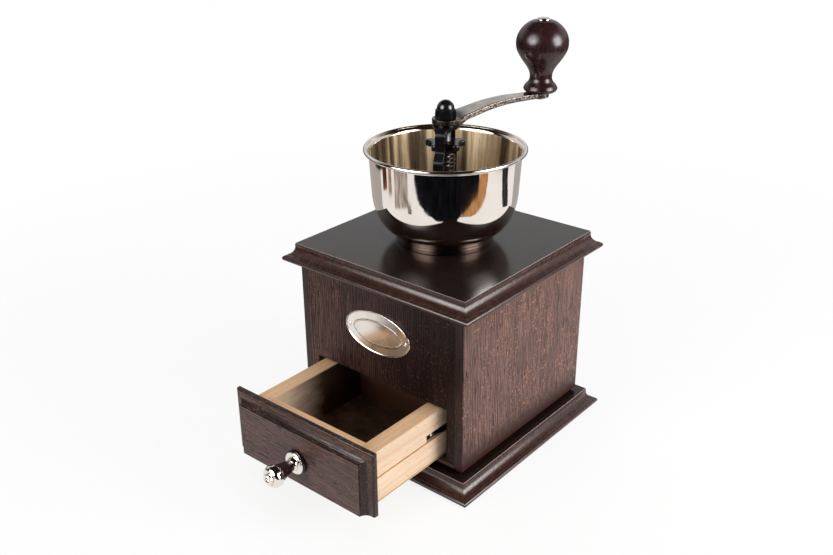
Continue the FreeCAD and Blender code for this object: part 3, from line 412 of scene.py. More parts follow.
def oak_grain(add, grain, seed):
    """The figure of quarter-sawn oak in one board: its space, lines, pores and ray flecks."""
    wood = bpy.context.scene.grinder_wood
    line = wood.line_spacing / MM
    ray = wood.ray_length / MM
    space = grain_space(add, grain)
    bent = wandering(add, space, 24.0, 70.0, seed, (2.4, 2.4, 0.0))
    broad_lines = patches(add, bent, line * 1.5, 60.0, seed + 3, span=(0.36, 0.64))
    fine_lines = patches(add, bent, line * 0.48, 24.0, seed + 4, 1.0, span=(0.43, 0.57))
    uneven = add("Mix", 0.7, broad_lines, fine_lines)
    # The growth rings, cut square, stand as nearly even lines
    x, y, _ = add("SeparateXYZ", bent, output=EACH)
    drift = add("Math", patches(add, space, 5.0, 30.0, seed + 17), 9.0, operation="MULTIPLY")
    across = add("Math", x, y, operation="ADD")
    phase = add("Math", across, 2 * math.pi / line, drift, operation="MULTIPLY_ADD")
    even = add("MapRange", add("Math", phase, operation="SINE"), -0.4, 0.5)
    lines = add("Mix", 0.45, uneven, even)
    pores = patches(add, bent, 0.45, 6.0, seed + 5, 1.0, span=(0.59, 0.66))
    # Small flecks lie in drifts, and wavy ones cross the grain where a ray runs nearly flat to the face
    wavy = wandering(add, space, 2.6, 2.6, seed + 6, (2.0, 2.0, 2.0))
    small = patches(add, wavy, ray * 0.6, ray, seed + 7, 1.0, span=(0.61, 0.68))
    small_share = patches(add, space, 13.0, 20.0, seed + 11, 1.0, span=(0.45, 0.6))
    crossing = patches(add, wavy, ray * 1.7, ray * 0.55, seed + 8, 1.0, span=(0.65, 0.72), tilt=0.25)
    crossing_share = patches(add, space, 12.0, 34.0, seed + 15, 1.0, span=(0.52, 0.64))
    rays = add("Math", add("Math", small, small_share, operation="MULTIPLY"),
               add("Math", crossing, crossing_share, operation="MULTIPLY"), operation="MAXIMUM")
    return space, lines, pores, rays


@surface
def stained_oak(add, grain, seed=0.0, tone=1.0, rays=1.0, painted_shade_right=0.0, gloss=0.4, side_board=False,
                moulded=False):
    """Quarter-sawn oak, stained dark and given a thin satin lacquer: the open pores break up its shine, and
    the rays that take less stain show as orange flecks. A board may be given painted shade towards its right.
    A side board has painted shade on its front edge, and is darker and redder in an uneven band along its
    foot. A moulded board is darker and glossier on its moulding, where its faces turn from the front."""
    wood = bpy.context.scene.grinder_wood
    space, lines, pores, flecks = oak_grain(add, grain, seed)
    cloud = patches(add, space, 12.0, 90.0, seed + 9, span=(0.3, 0.7), levels=(0.76, 1.1))
    rough = add("MapRange", pores, 0.0, 1.0, 0.36, 0.56)
    # Painted shade: the board and its flecks are made darker towards its right
    if painted_shade_right:
        shade = add("MapRange", parts(add, "Object")[0], -0.045, 0.03, 1.0, 1.0 - painted_shade_right)
        cloud = add("Math", cloud, shade, operation="MULTIPLY")
        flecks = add("Math", flecks, add("MapRange", shade, 0.2, 1.0, 0.35, 1.0), operation="MULTIPLY")
    if moulded:
        # Darker and glossier where the faces turn from the front
        moulding = add("MapRange", parts(add, "Normal")[1], -0.99, -0.9)
        cloud = add("Math", cloud, add("MapRange", moulding, 0.0, 1.0, 1.0, 0.35), operation="MULTIPLY")
        rough = add("Math", moulding, -0.14, rough, operation="MULTIPLY_ADD")
    if side_board:
        # Painted shade: the front edge of a side board and its flecks are made darker
        forward = parts(add, "Normal")[1]
        cloud = add("Math", cloud, add("MapRange", forward, -0.8, -0.5, 0.16, 1.0), operation="MULTIPLY")
        flecks = add("Math", flecks, add("MapRange", forward, -0.8, -0.5, 0.15, 1.0), operation="MULTIPLY")
    colour = add("Mix", lines, scaled(wood.oak, tone), scaled(wood.oak_light, tone), data_type="RGBA")
    colour = add("VectorMath", colour, cloud, operation="SCALE")
    colour = add("Mix", pores, colour, scaled(wood.oak_pore, tone), data_type="RGBA")
    amount = add("Math", flecks, 0.8 * rays, operation="MULTIPLY")
    colour = add("Mix", amount, colour, scaled(wood.oak_ray, 0.35 + 0.65 * tone), data_type="RGBA")
    if side_board:
        # Darker and redder in an uneven band along the foot of a side board
        foot = low("side_panel_right").z * MM
        foot_wander = patches(add, space, 2.5, 5.0, seed + 21, 3.0, 0.6, (0.3, 0.7), (0.003, 0.012))
        above = add("Math", parts(add, "Object")[2], foot_wander, operation="SUBTRACT")
        darker_foot = add("MapRange", above, foot, foot + 0.01, 0.95, 0.0)
        colour = add("Mix", darker_foot, colour, linear("#2C0F07"), data_type="RGBA")
    relief = add("Math", add("Math", lines, 0.6, operation="MULTIPLY"), pores, operation="SUBTRACT")
    normal = add("Bump", named={"Height": relief, "Strength": 0.5, "Distance": 0.00014})
    return {"Base Color": colour, "Roughness": rough, "Normal": normal, "IOR": 1.5,
            "Specular IOR Level": gloss}


@surface
def brushed_lacquer_oak(add, grain, seed, top):
    """Oak plate stained nearly black. Its flat face is brushed with gloss lacquer, which mirrors what stands
    behind it. Its moulded edges are satin brown, with fine marks of the cutter and brush across the moulding,
    and a painted highlight runs along the edge of the top face, at a level in mm."""
    space, lines, pores, flecks = oak_grain(add, grain, seed)
    x, y, z = parts(add, "Object")
    facing = parts(add, "Normal")
    steep = [add("Math", part, operation="ABSOLUTE") for part in facing]
    flat = add("MapRange", steep[2], 0.97, 0.995)
    sideways = add("Math", steep[0], steep[1], operation="GREATER_THAN")
    along_mm = add("Math", add("Mix", sideways, x, y), 1 / (0.75 * MM), operation="MULTIPLY")
    up_mm = add("Math", z, 1 / (5.0 * MM), operation="MULTIPLY")
    apart = add("Math", sideways, 40.0, operation="MULTIPLY")
    streaks = add("TexNoise", add("CombineXYZ", along_mm, up_mm, apart), 1.0, 2.0, 0.6)
    streaks = add("MapRange", streaks, 0.36, 0.66)
    edge = add("Mix", streaks, linear("#20110C"), linear("#4A2F29"), data_type="RGBA")
    amount = add("Math", flecks, 0.3, operation="MULTIPLY")
    edge = add("Mix", amount, edge, linear("#8A5236"), data_type="RGBA")
    # Painted highlight: a light line along the edge just under the top face
    painted_arris_highlight = add("MapRange", z, (top - 0.42) * MM, (top - 0.2) * MM, 0.0, 0.8)
    painted_arris_highlight = add("Math", painted_arris_highlight, add("Math", 1.0, flat, operation="SUBTRACT"), operation="MULTIPLY")
    edge = add("Mix", painted_arris_highlight, edge, linear("#A8968E"), data_type="RGBA")
    face = add("Mix", lines, linear("#17100D"), linear("#241712"), data_type="RGBA")
    face = add("Mix", pores, face, linear("#140A08"), data_type="RGBA")
    smear = patches(add, space, 30.0, 45.0, seed + 2, span=(0.3, 0.7), levels=(0.15, 0.21))
    rough = add("Mix", flat, add("MapRange", streaks, 0.0, 1.0, 0.3, 0.2), smear)
    # No lacquer reached the underside of the lip
    under = add("MapRange", facing[2], -0.75, -0.25, 0.4, 0.0)
    relief = add("Mix", flat, streaks, add("Math", lines, 0.06, operation="MULTIPLY"))
    return {"Base Color": add("Mix", flat, edge, face, data_type="RGBA"),
            "Roughness": add("Math", rough, under, operation="ADD"),
            "Normal": add("Bump", named={"Height": relief, "Strength": 0.4, "Distance": 0.00012}),
            "IOR": 1.46}


def drawer_stain_and_shadow(add, space, point, seed):
    """1 where the drawer's inside is brown with use and with painted shadow of the box: all of its far end,
    and less towards its front and top."""
    x, y, z = point
    front = high("drawer_inner_front").y * MM
    back = low("drawer_back").y * MM
    top = high("drawer_side_left").z * MM
    wall = high("drawer_inner_front").x * MM
    wander = patches(add, space, 6.0, 12.0, seed + 30, span=(0.3, 0.7), levels=(-0.003, 0.003))
    inside = 1.0
    for place, start, end, first, last in (
            (add("Math", x, operation="ABSOLUTE"), wall + 0.0001, wall + 0.0003, 1.0, 0.0),
            (y, front - 0.0003, front - 0.0001, 0.0, 1.0),
            (y, back + 0.0001, back + 0.0003, 1.0, 0.0),
            (z, top - 0.0006, top - 0.0003, 1.0, 0.0),
            # Painted shadow of the box: the dark grows from near the inner front towards the far end
            (add("Math", y, wander, operation="ADD"), front + 0.008, front + 0.036, 0.1, 1.0),
            (z, top - 0.02, top - 0.001, 1.0, 0.93)):
        inside = add("Math", inside, add("MapRange", place, start, end, first, last), operation="MULTIPLY")
    return inside


@surface
def beech(add, grain, seed=0.0, kerf=None, stained=False):
    """Plain sanded beech, unfinished: pale and even, with short darker flecks and faint growth lines, and
    with painted shade on its upward faces. A drawer side has a saw kerf between two levels on its outer face,
    scorched brown and rough, and the drawer is stained inside with use and with painted shadow of the box."""
    wood = bpy.context.scene.grinder_wood
    space = grain_space(add, grain)
    point = parts(add, "Object")
    growth = patches(add, space, 2.4, 80.0, seed, 4.0, 0.55)
    lines = add("MapRange", growth, 0.38, 0.72, 0.0, 0.7)
    colour = add("Mix", lines, tuple(wood.beech), tuple(wood.beech_dark), data_type="RGBA")
    dash = patches(add, space, 0.4, 2.8, seed + 4, 1.0, span=(0.6, 0.72), levels=(0.0, 0.5))
    colour = add("Mix", dash, colour, linear("#B2845E"), data_type="RGBA")
    cloud = patches(add, space, 14.0, 60.0, seed + 8, span=(0.25, 0.75), levels=(0.88, 1.06))
    colour = add("VectorMath", colour, cloud, operation="SCALE")
    if kerf:
        half = (kerf[1] - kerf[0]) / 2 * MM
        chips = patches(add, space, 0.8, 3.0, seed + 12, span=(0.2, 0.8), levels=(-0.0005, 0.0005))
        off = add("Math", add("Math", point[2], chips, operation="ADD"), (kerf[0] + kerf[1]) / 2 * MM,
                  operation="SUBTRACT")
        burnt = add("MapRange", add("Math", off, operation="ABSOLUTE"), half * 0.8, half * 2.1, 0.85, 0.0)
        outer = add("MapRange", add("Math", point[0], operation="ABSOLUTE"), 0.0410, 0.0414)
        burnt = add("Math", burnt, outer, operation="MULTIPLY")
        colour = add("Mix", burnt, colour, linear("#D29E70"), data_type="RGBA")
    # Painted shade: faces turned upwards are tinted darker tan
    upward = add("MapRange", parts(add, "Normal")[2], 0.8, 0.95)
    colour = add("Mix", upward, colour, linear("#FFF0DC"), data_type="RGBA", blend_type="MULTIPLY")
    if stained:
        # Coffee stain and painted shadow of the box, in dark brown inside the drawer
        stain = drawer_stain_and_shadow(add, space, point, seed)
        colour = add("Mix", stain, colour, linear("#2E1509"), data_type="RGBA")
    return {"Base Color": colour, "Roughness": 0.6, "IOR": 1.5, "Specular IOR Level": 0.2,
            "Normal": add("Bump", named={"Height": growth, "Strength": 0.15, "Distance": 0.0001})}


@surface
def plywood(add):
    """Thin birch plywood: three plies that show as stripes on the edge, plain and matt. Its upper face is
    stained dark brown in blotches by use."""
    space = grain_space(add, "X")
    height = parts(add, "Object")[2]
    share = add("MapRange", height, low("drawer_bottom").z * MM, high("drawer_bottom").z * MM)
    plies = add("ValToRGB", share, stops=((0.0, "#D6B688"), (0.34, "#A9814F"), (0.67, "#DCC096")))
    plies.node.color_ramp.interpolation = "CONSTANT"
    grain = patches(add, space, 1.6, 45.0, 2.0, 3.0)
    shade = add("MapRange", grain, 0.0, 1.0, 0.82, 1.1)
    clean = add("HueSaturation", named={"Color": plies, "Value": shade})
    blotch = patches(add, space, 7.0, 9.0, 31.0, 4.0, 0.65)
    light = add("MapRange", blotch, 0.35, 0.7)
    brown = add("Mix", light, linear("#1F0E08"), linear("#331B10"), data_type="RGBA")
    upward = add("MapRange", parts(add, "Normal")[2], 0.7, 0.9)
    stain = add("Math", upward, add("MapRange", blotch, 0.2, 0.8, 1.0, 0.95), operation="MULTIPLY")
    return {"Base Color": add("Mix", stain, clean, brown, data_type="RGBA"), "Roughness": 0.7,
            "Specular IOR Level": 0.15,
            "Normal": add("Bump", named={"Height": grain, "Strength": 0.15, "Distance": 0.0001})}


@surface
def lacquered_wood(add, grain="Z"):
    """Turned hardwood, stained nearly black-brown under a thick gloss lacquer: the pores only just show, and
    each lamp shows as a soft bright patch."""
    space = grain_space(add, grain)
    pore = patches(add, space, 0.8, 9.0, 1.0, 3.0, 0.6)
    colour = add("ValToRGB", pore, stops=((0.34, "#201011"), (0.54, "#2C1718"), (0.72, "#3B2323")))
    return {"Base Color": colour,
            "Roughness": patches(add, space, 6.0, 9.0, 3.0, span=(0.3, 0.7), levels=(0.2, 0.27)),
            "Normal": add("Bump", named={"Height": pore, "Strength": 0.05, "Distance": 0.0001}),
            "IOR": 1.5, "Specular IOR Level": 0.39}


@surface
def nickel_plate(add, roughness=None):
    """Nickel plate on polished steel: warm white, mirror bright, with faint handling marks."""
    metal = bpy.context.scene.grinder_metal
    base = metal.nickel_roughness if roughness is None else roughness
    smear = patches(add, grain_space(add, "Z"), 11.0, 17.0, 2.0, 3.0)
    colour = add("Mix", smear, tuple(metal.nickel), scaled(metal.nickel, 0.88), data_type="RGBA")
    return {"Base Color": colour, "Metallic": 1.0,
            "Roughness": add("MapRange", smear, 0.35, 0.75, base * 0.7, base * 1.7)}


@surface
def worn_strip_nickel(add):
    """Nickel plate on sheared strip, handled for years: mottled grey on its faces, and brown and rough on the
    sheared edges, where small marks scatter its shine. Round the hub it has a painted dark reflection."""
    metal = bpy.context.scene.grinder_metal
    space = grain_space(add, "Z")
    steep = add("Math", parts(add, "Normal")[2], operation="ABSOLUTE")
    sheared = add("MapRange", steep, 0.5, 0.78, 1.0, 0.0)
    marks = patches(add, space, 0.8, 0.8, 5.0, 4.0, 0.65)
    wear = patches(add, space, 7.0, 7.0, 8.0)
    face = add("Mix", add("MapRange", wear, 0.3, 0.7), scaled(metal.nickel, 0.44), scaled(metal.nickel, 0.78),
               data_type="RGBA")
    spots = add("Math", add("MapRange", marks, 0.5, 0.62), wear, operation="MULTIPLY")
    face = add("Mix", spots, face, linear("#857A70"), data_type="RGBA")
    rubbed = add("MapRange", marks, 0.44, 0.62)
    edge = add("Mix", rubbed, linear("#2C2420"), linear("#988E84"), data_type="RGBA")
    # Painted dark reflection: faces and edges round the hub are made dark
    level = add("VectorMath", space, (1.0, 1.0, 0.0), operation="MULTIPLY")
    painted_dark_hub = add("MapRange", add("VectorMath", level, operation="LENGTH"), 8.0, 13.0, 0.85, 0.0)
    face = add("Mix", painted_dark_hub, face, linear("#3A322C"), data_type="RGBA")
    edge = add("Mix", painted_dark_hub, edge, linear("#2E2622"), data_type="RGBA")
    face_rough = add("MapRange", marks, 0.35, 0.7, 0.14, 0.32)
    edge_rough = add("MapRange", marks, 0.35, 0.7, 0.3, 0.5)
    return {"Base Color": add("Mix", sheared, face, edge, data_type="RGBA"),
            "Roughness": add("Mix", sheared, face_rough, edge_rough), "Metallic": 1.0,
            "Normal": add("Bump", named={"Height": marks, "Strength": 0.25, "Distance": 0.00012})}


@surface
def spun_nickel(add):
    """Inside of the bowl, plated but not polished: satin and brown with oil, with painted reflections in soft
    upright gold bands, and fine drawn streaks."""
    wall_radius = 41.0
    x, y, z = parts(add, "Object")
    angle = add("Math", y, x, operation="ARCTAN2")
    marks = []
    for across, upright, detail in ((1.6, 30.0, 2.0), (7.0, 120.0, 1.0)):
        place = add("CombineXYZ", add("Math", angle, wall_radius / across, operation="MULTIPLY"),
                    add("Math", z, 1 / (upright * MM), operation="MULTIPLY"))
        marks.append(add("TexNoise", place, 1.0, detail))
    streaks, bands = marks
    # Painted reflections: bright and dark upright bands stand for the softboxes that the wall mirrors
    painted_reflection_bands = add("ValToRGB", bands, stops=((0.36, "#5C4C3C"), (0.47, "#9E8A70"), (0.54, "#DEC49C"),
                                           (0.62, "#FFE8C2")))
    shade = add("MapRange", streaks, 0.3, 0.7, 0.96, 1.03)
    return {"Base Color": add("VectorMath", painted_reflection_bands, shade, operation="SCALE"), "Metallic": 0.3,
            "Roughness": add("MapRange", streaks, 0.3, 0.7, 0.24, 0.34),
            "Normal": add("Bump", named={"Height": streaks, "Strength": 0.12, "Distance": 0.00008})}


@surface
def black_steel(add, gloss=0.4):
    """Blackened and oiled steel strip: nearly black, softly glossy, a little uneven."""
    metal = bpy.context.scene.grinder_metal
    base = metal.black_roughness
    mottle = patches(add, grain_space(add, "Z"), 1.4, 1.4, 4.0, 4.0, 0.6)
    return {"Base Color": add("Mix", mottle, linear("#0C0C0E"), tuple(metal.black), data_type="RGBA"),
            "Roughness": add("MapRange", mottle, 0.0, 1.0, base * 0.7, base * 1.4),
            "Specular IOR Level": gloss,
            "Normal": add("Bump", named={"Height": mottle, "Strength": 0.08, "Distance": 0.00008})}


@surface
def bare_metal(add, colour, other, roughness, grit_mm, strength):
    """Bare ground or cast metal, whose grit breaks up its shine."""
    grit = patches(add, grain_space(add, "Z"), grit_mm, grit_mm, 6.0, 4.0, 0.65)
    return {"Base Color": add("Mix", grit, linear(colour), linear(other), data_type="RGBA"), "Metallic": 1.0,
            "Roughness": add("MapRange", grit, 0.0, 1.0, roughness * 0.8, roughness * 1.3),
            "Normal": add("Bump", named={"Height": grit, "Strength": strength, "Distance": 0.0001})}


def looked_at(add):
    """1 where the camera, a mirror or a clear thing looks, and 0 for the soft light that fills the room."""
    seen = add("LightPath", output="Is Camera Ray")
    for ray in ("Is Glossy Ray", "Is Transmission Ray"):
        seen = add("Math", seen, add("LightPath", output=ray), operation="MAXIMUM")
    return seen


@surface
def white_paper(add, colour):
    """Matt white paper without shine. It takes the mill's shadow, and far off it is burnt out to plain
    white."""
    paper = add("BsdfPrincipled", named={"Base Color": colour, "Roughness": 0.9, "Specular IOR Level": 0.0})
    away = add("VectorMath", add("TexCoord", output="Object"), operation="LENGTH")
    share = add("Math", looked_at(add), add("MapRange", away, 0.18, 0.6, 0.84, 1.0), operation="MULTIPLY")
    return add("MixShader", share, paper, add("Emission", grey(1.0), 1.0))


@surface
def glowing_card(add, code, streak_code):
    """A lit card: it glows evenly, or has uneven streaks of a second colour, about three degrees wide, that
    run outwards from the mill."""
    colour = linear(code)
    if streak_code:
        place = add("TexCoord", output="Object")
        x, y, _ = add("SeparateXYZ", place, output=EACH)
        turn = add("Math", add("Math", y, x, operation="ARCTAN2"), math.radians(3.0), operation="DIVIDE")
        out = add("Math", add("VectorMath", place, operation="LENGTH"), 0.035, operation="DIVIDE")
        streaks = add("TexNoise", add("CombineXYZ", turn, out), 1.0, 2.0)
        streaks = add("MapRange", streaks, 0.4, 0.62)
        colour = add("Mix", streaks, colour, linear(streak_code), data_type="RGBA")
    return add("Emission", colour, 1.0)


# Pieces

class GRINDER_OT_stage(bpy.types.Operator):
    """Add the floor, the studio lights and the camera"""
    bl_idname = "grinder.stage"
    bl_label = "Stage"

    def execute(self, context):
        studio = context.scene.grinder_studio
        self.floor(studio)
        self.world(context, studio)
        self.lamps(studio)
        self.cards()
        self.camera(context, studio)
        context.scene.view_settings.view_transform = "Standard"
        return {"FINISHED"}

    def flat(self, name, points, material, level=0.0):
        """A flat sheet from floor points in mm."""
        mesh = bpy.data.meshes.new(name)
        mesh.from_pydata([(x * MM, y * MM, level * MM) for x, y in points], [], [tuple(range(len(points)))])
        mesh.materials.append(material)
        obj = bpy.data.objects.new(name, mesh)
        bpy.context.scene.collection.objects.link(obj)
        return obj

    def floor(self, studio):
        reach = 6000.0
        self.flat("Floor", [(-reach, -reach), (reach, -reach), (reach, reach), (-reach, reach)],
                  white_paper("White paper floor", tuple(studio.floor)))

    def world(self, context, studio):
        """White backdrop behind the mill, the dark room behind the camera, and a plain soft light for the
        rest. Shiny things also see the softboxes' covers, which fade towards their edges."""
        world = bpy.data.worlds.new("Studio")
        context.scene.world = world
        world.use_nodes = True
        add = functools.partial(add_node, world.node_tree)
        look = add("TexCoord", output="Generated")
        _, _, level = add("SeparateXYZ", look, output=EACH)
        room = self.towards(add, look, -60.0, 0.0, 108.0, 90.0)
        dark = add("Math", room, add("MapRange", level, 0.52, 0.68), operation="MAXIMUM")
        room_colour = linear("#241B17")
        skylight = self.towards(add, look, -87.0, 56.0, 13.0, 6.0)
        low_sky = add("MapRange", level, 0.09, 0.17, 0.75, 0.0)
        left_cover = self.towards(add, look, -104.0, 23.0, 29.0, 15.0)
        right_cover = self.towards(add, look, 16.0, 17.0, 29.0, 16.0)
        sky = grey(0.74)
        for share, colour in ((dark, room_colour), (skylight, linear("#7C8B9A")), (low_sky, room_colour),
                              (left_cover, grey(8.5)), (right_cover, grey(6.0)),
                              (add("LightPath", output="Is Camera Ray"), grey(1.0))):
            sky = add("Mix", share, sky, colour, data_type="RGBA")
        light = add("MixShader", looked_at(add), add("Background", grey(1.0), studio.ambient),
                    add("Background", sky, 1.0))
        fill(world.node_tree.nodes["World Output"].inputs["Surface"], light)

    def direction(self, azimuth, elevation):
        a, e = math.radians(azimuth), math.radians(elevation)
        return Vector((math.cos(a) * math.cos(e), math.sin(a) * math.cos(e), math.sin(e)))

    def towards(self, add, look, azimuth, elevation, outer, inner):
        """1 where the world is seen near a direction, fading from an inner to an outer angle in degrees."""
        near = add("VectorMath", look, tuple(self.direction(azimuth, elevation)), operation="DOT_PRODUCT")
        return add("MapRange", near, math.cos(math.radians(outer)), math.cos(math.radians(inner)))

    def lamps(self, studio):
        aim = Vector((0.0, -0.02, 0.1))
        boxes = [("Left softbox", -99.5, 22.0, 1.15, 0.44, 0.5, studio.left_power, True),
                 ("Right softbox", 16.0, 17.0, 1.15, 0.58, 0.74, studio.right_power, True),
                 ("Top light", -60.0, 80.0, 1.2, 1.0, 1.0, studio.top_power, False),
                 ("Back fill", 140.0, 42.0, 1.2, 1.0, 1.0, studio.back_power, False)]
        for name, azimuth, elevation, distance, width, height, power, mirrored in boxes:
            light = bpy.data.lights.new(name, "AREA")
            light.shape = "RECTANGLE"
            light.size = width
            light.size_y = height
            light.energy = power
            obj = bpy.data.objects.new(name, light)
            bpy.context.scene.collection.objects.link(obj)
            away = self.direction(azimuth, elevation)
            obj.location = aim + away * distance
            obj.rotation_euler = away.to_track_quat("Z", "Y").to_euler()
            obj.visible_camera = False
            obj.visible_glossy = mirrored

    def sector(self, rows, fray):
        """Floor points in mm of a card between two azimuths at each radius, with its long sides frayed."""
        chance = random.Random(11)
        left = []
        right = []
        for (r0, a0, b0), (r1, a1, b1) in zip(rows, rows[1:]):
            steps = max(2, int((r1 - r0) / 2.2)) if r1 < 480 else 4
            for index in range(steps):
                t = index / steps
                r = r0 + (r1 - r0) * t
                left.append((r, a0 + (a1 - a0) * t + chance.uniform(-fray, fray)))
                right.append((r, b0 + (b1 - b0) * t + chance.uniform(-fray, fray)))
        near = self.sweep(rows[0][0], right[0][1], left[0][1])
        far = self.sweep(rows[-1][0], left[-1][1], right[-1][1])
        round_trip = left + far + right[::-1] + near
        return [(r * math.cos(math.radians(a)), r * math.sin(math.radians(a))) for r, a in round_trip]

    def sweep(self, radius, start, end):
        """Points between two azimuths, so that the end of a wide card is an arc."""
        steps = max(2, int(abs(end - start) / 4))
        return [(radius, start + (end - start) * index / steps) for index in range(1, steps)]

    def cards(self):
        """Cards lying round the mill, which only shiny things see: the dark floor before the camera, warm and
        grey strips beside it and a grey sweep behind. Some have streaks of a second colour that run
        outwards."""
        looks = [
            ("Grey sweep", "#B4AFAC", None, [(60, 72, 198), (3000, 72, 198), (3001, 72, 198)], 0.0),
            ("Far sweep", "#5E5856", None, [(560, 66, 184), (6000, 66, 184), (6001, 66, 184)], 0.0),
            ("Dark strip", "#1C1C20", "#4A4A50",
             [(330, 45, 57), (346, 43, 58), (396, 39, 53), (900, 36, 50)], 0.5),
            ("Left brown strip", "#4A2A1E", "#7A4C38",
             [(370, -157, -147), (900, -157, -147), (901, -157, -147)], 0.8),
            ("Second brown strip", "#7A5848", "#C0A898",
             [(356, -144, -137), (900, -144, -137), (901, -144, -137)], 0.8),
            ("Mauve strip", "#CFC4BA", "#8A7C7C",
             [(322, -132, -108), (900, -134, -104), (901, -134, -104)], 1.2),
            ("Plum streak", "#665856", "#A09490",
             [(296, -108, -102), (326, -109, -103), (338, -115, -110), (354, -117, -113)], 0.8),
            ("Amber strip", "#CE9C6C", "#B07848",
             [(282, -30, -12), (297, -30, -10.5), (327, -15.4, 4.0), (337, -9.4, 7.0), (349, -3.5, 10.0),
              (367, -2.5, 10.9), (383, -1.5, 12.0), (900, 0, 14)], 0.8),
            ("Black floor", "#08080B", "#15161B",
             [(226, -64.5, -34), (232, -65.2, -33.8), (297, -73.8, -29.8), (326, -88.7, -15.2),
              (336, -91.7, -9.2), (348, -94.6, -3.3), (365, -95.7, -2.3), (382, -97, -1.3), (470, -99, 0),
              (900, -101, 0)], 1.3),
            ("Dark room floor", "#1C1613", None,
             [(410, -106, 40), (432, -108, 42), (438, -176, 64), (6000, -176, 64), (6001, -176, 64)], 0.5),
        ]
        for index, (name, colour, streak, rows, fray) in enumerate(looks):
            face = glowing_card(name, colour, streak)
            card = self.flat(name, self.sector(rows, fray), face, 0.4 + 0.15 * index)
            card.visible_camera = False
            card.visible_diffuse = False
            card.visible_shadow = False
            card.visible_transmission = False

    def camera(self, context, studio):
        lens = bpy.data.cameras.new("Camera")
        lens.lens = studio.lens
        lens.sensor_width = 36.0
        lens.clip_start = 0.01
        lens.clip_end = 50.0
        obj = bpy.data.objects.new("Camera", lens)
        context.scene.collection.objects.link(obj)
        place = Vector((0.3122, -0.3983, 0.3235))
        target = Vector((-0.04205, 0.02531, 0.0679))
        turn = (place - target).to_track_quat("Z", "Y").to_matrix()
        roll = Matrix.Rotation(math.radians(-0.40), 3, "Z")
        obj.matrix_world = Matrix.Translation(place) @ (turn @ roll).to_4x4()
        context.scene.camera = obj


class GRINDER_OT_carcass(bpy.types.Operator):
    """Finish the boards of the box"""
    bl_idname = "grinder.carcass"
    bl_label = "Box"

    def execute(self, context):
        edge = context.scene.grinder_shape.edge_round
        for side, seed in (("left", 0.0), ("right", 13.0)):
            oak = stained_oak("Satin stained oak " + side, "Z", seed, 0.76, gloss=0.25, side_board=True)
            dress("side_panel_" + side, oak, edge)
        dress("front_panel", stained_oak("Satin stained oak front", "Z", 26.0, 0.46, 0.62, 0.8, 0.13), edge)
        dress("back_panel", stained_oak("Satin stained oak back", "Z", 39.0, 0.7), edge)
        dress("floor_board", stained_oak("Satin stained oak floor", "X", 61.0, 0.5), edge)
        guide = beech("Sawn beech guides", "Y", 31.0)
        for node in ("drawer_guide_left", "drawer_guide_right"):
            dress(node, guide, edge)
        zinc = bare_metal(*ZINC)
        for index in range(4):
            dress("base_screw_" + str(index + 1), zinc)
        return {"FINISHED"}


class GRINDER_OT_plates(bpy.types.Operator):
    """Finish the moulded base and top plates"""
    bl_idname = "grinder.plates"
    bl_label = "Plates"

    def execute(self, context):
        edge = context.scene.grinder_shape.edge_round
        for place, seed in (("base", 83.0), ("top", 97.0)):
            node = place + "_plate"
            dress(node, brushed_lacquer_oak("Brushed lacquer oak " + place, "X", seed, high(node).z), edge)
        return {"FINISHED"}


class GRINDER_OT_bowl(bpy.types.Operator):
    """Make the bowl and its foot"""
    bl_idname = "grinder.bowl"
    bl_label = "Bowl"

    def execute(self, context):
        shape = context.scene.grinder_shape
        nickel = nickel_plate("Polished nickel plate")
        # Painted dark reflection: the foot's nickel is made dark brown, standing for the dark plate it
        # mirrors
        painted_dark_foot = bare_metal("Browned nickel foot", "#5E4E46", "#40342E", 0.2, 1.6, 0.04)
        sheet = shape.sheet / MM
        bead = shape.bead / MM
        base = low("hopper_bowl").z
        top = high("hopper_bowl").z
        rim = high("hopper_bowl").x
        lip_radius = rim - bead
        bead_level = top - bead
        flare = 1.8
        neck = lip_radius - flare
        neck_level = bead_level - sheet / 2 - flare
        wall = 40.3
        wall_level = base + 24.4
        floor_radius = 26.7
        hole = 17.5
        blend = 83.6
        lines = []
        for depth, lip_end in ((0.0, 96), (sheet, 102)):
            line = [(hole, base + depth), (floor_radius - 2.0, base + depth)]
            for index in range(33):
                angle = math.radians(blend * index / 32)
                line.append((floor_radius + (wall - depth - floor_radius) * math.sin(angle),
                             wall_level - (wall_level - base - depth) * math.cos(angle)))
            radius, level = line[-1]
            line += [(radius + (neck - depth - radius) * t, level + (neck_level - level) * t)
                     for t in (0.25, 0.5, 0.75, 1.0)]
            lines.append(line + arc_points(lip_radius, neck_level, flare + depth, 180, lip_end, 10)[1:])
        outside, inside = lines
        roll = arc_points(lip_radius, bead_level, bead, -130, 140, 18)
        profile = outside + roll + inside[::-1]
        verts, faces = turned(profile, shape.turns, closed=True)
        bowl = piece("bowl_shell", verts, faces, "housing", nickel, ["hopper_bowl"], 40)
        bowl.data.materials.append(spun_nickel("Spun nickel inside the bowl"))
        for polygon in bowl.data.polygons:
            middle = polygon.center / MM
            out = polygon.normal.x * middle.x + polygon.normal.y * middle.y
            within = out < 0 or middle.z < base + 2 * sheet and polygon.normal.z > 0.5
            if within and middle.z < neck_level + 0.6:
                polygon.material_index = 1
        plate = low("bowl_foot").z
        foot = high("bowl_foot").x
        inner = 24.0
        ring = [(inner, plate), (foot - 0.2, plate), (foot, plate + 0.2), (foot, plate + 2.6),
                (foot - 0.5, plate + 2.6), (foot - 0.5, plate + 3.9), (foot - 1.0, plate + 3.9),
                (foot - 1.0, plate + 5.2), (foot - 1.5, plate + 5.2), (foot - 1.5, base), (inner, base)]
        verts, faces = turned(eased(ring, 0.22, 4), shape.turns, closed=True)
        piece("bowl_foot_ring", verts, faces, "housing", painted_dark_foot, ["bowl_foot"], 60)
        return {"FINISHED"}


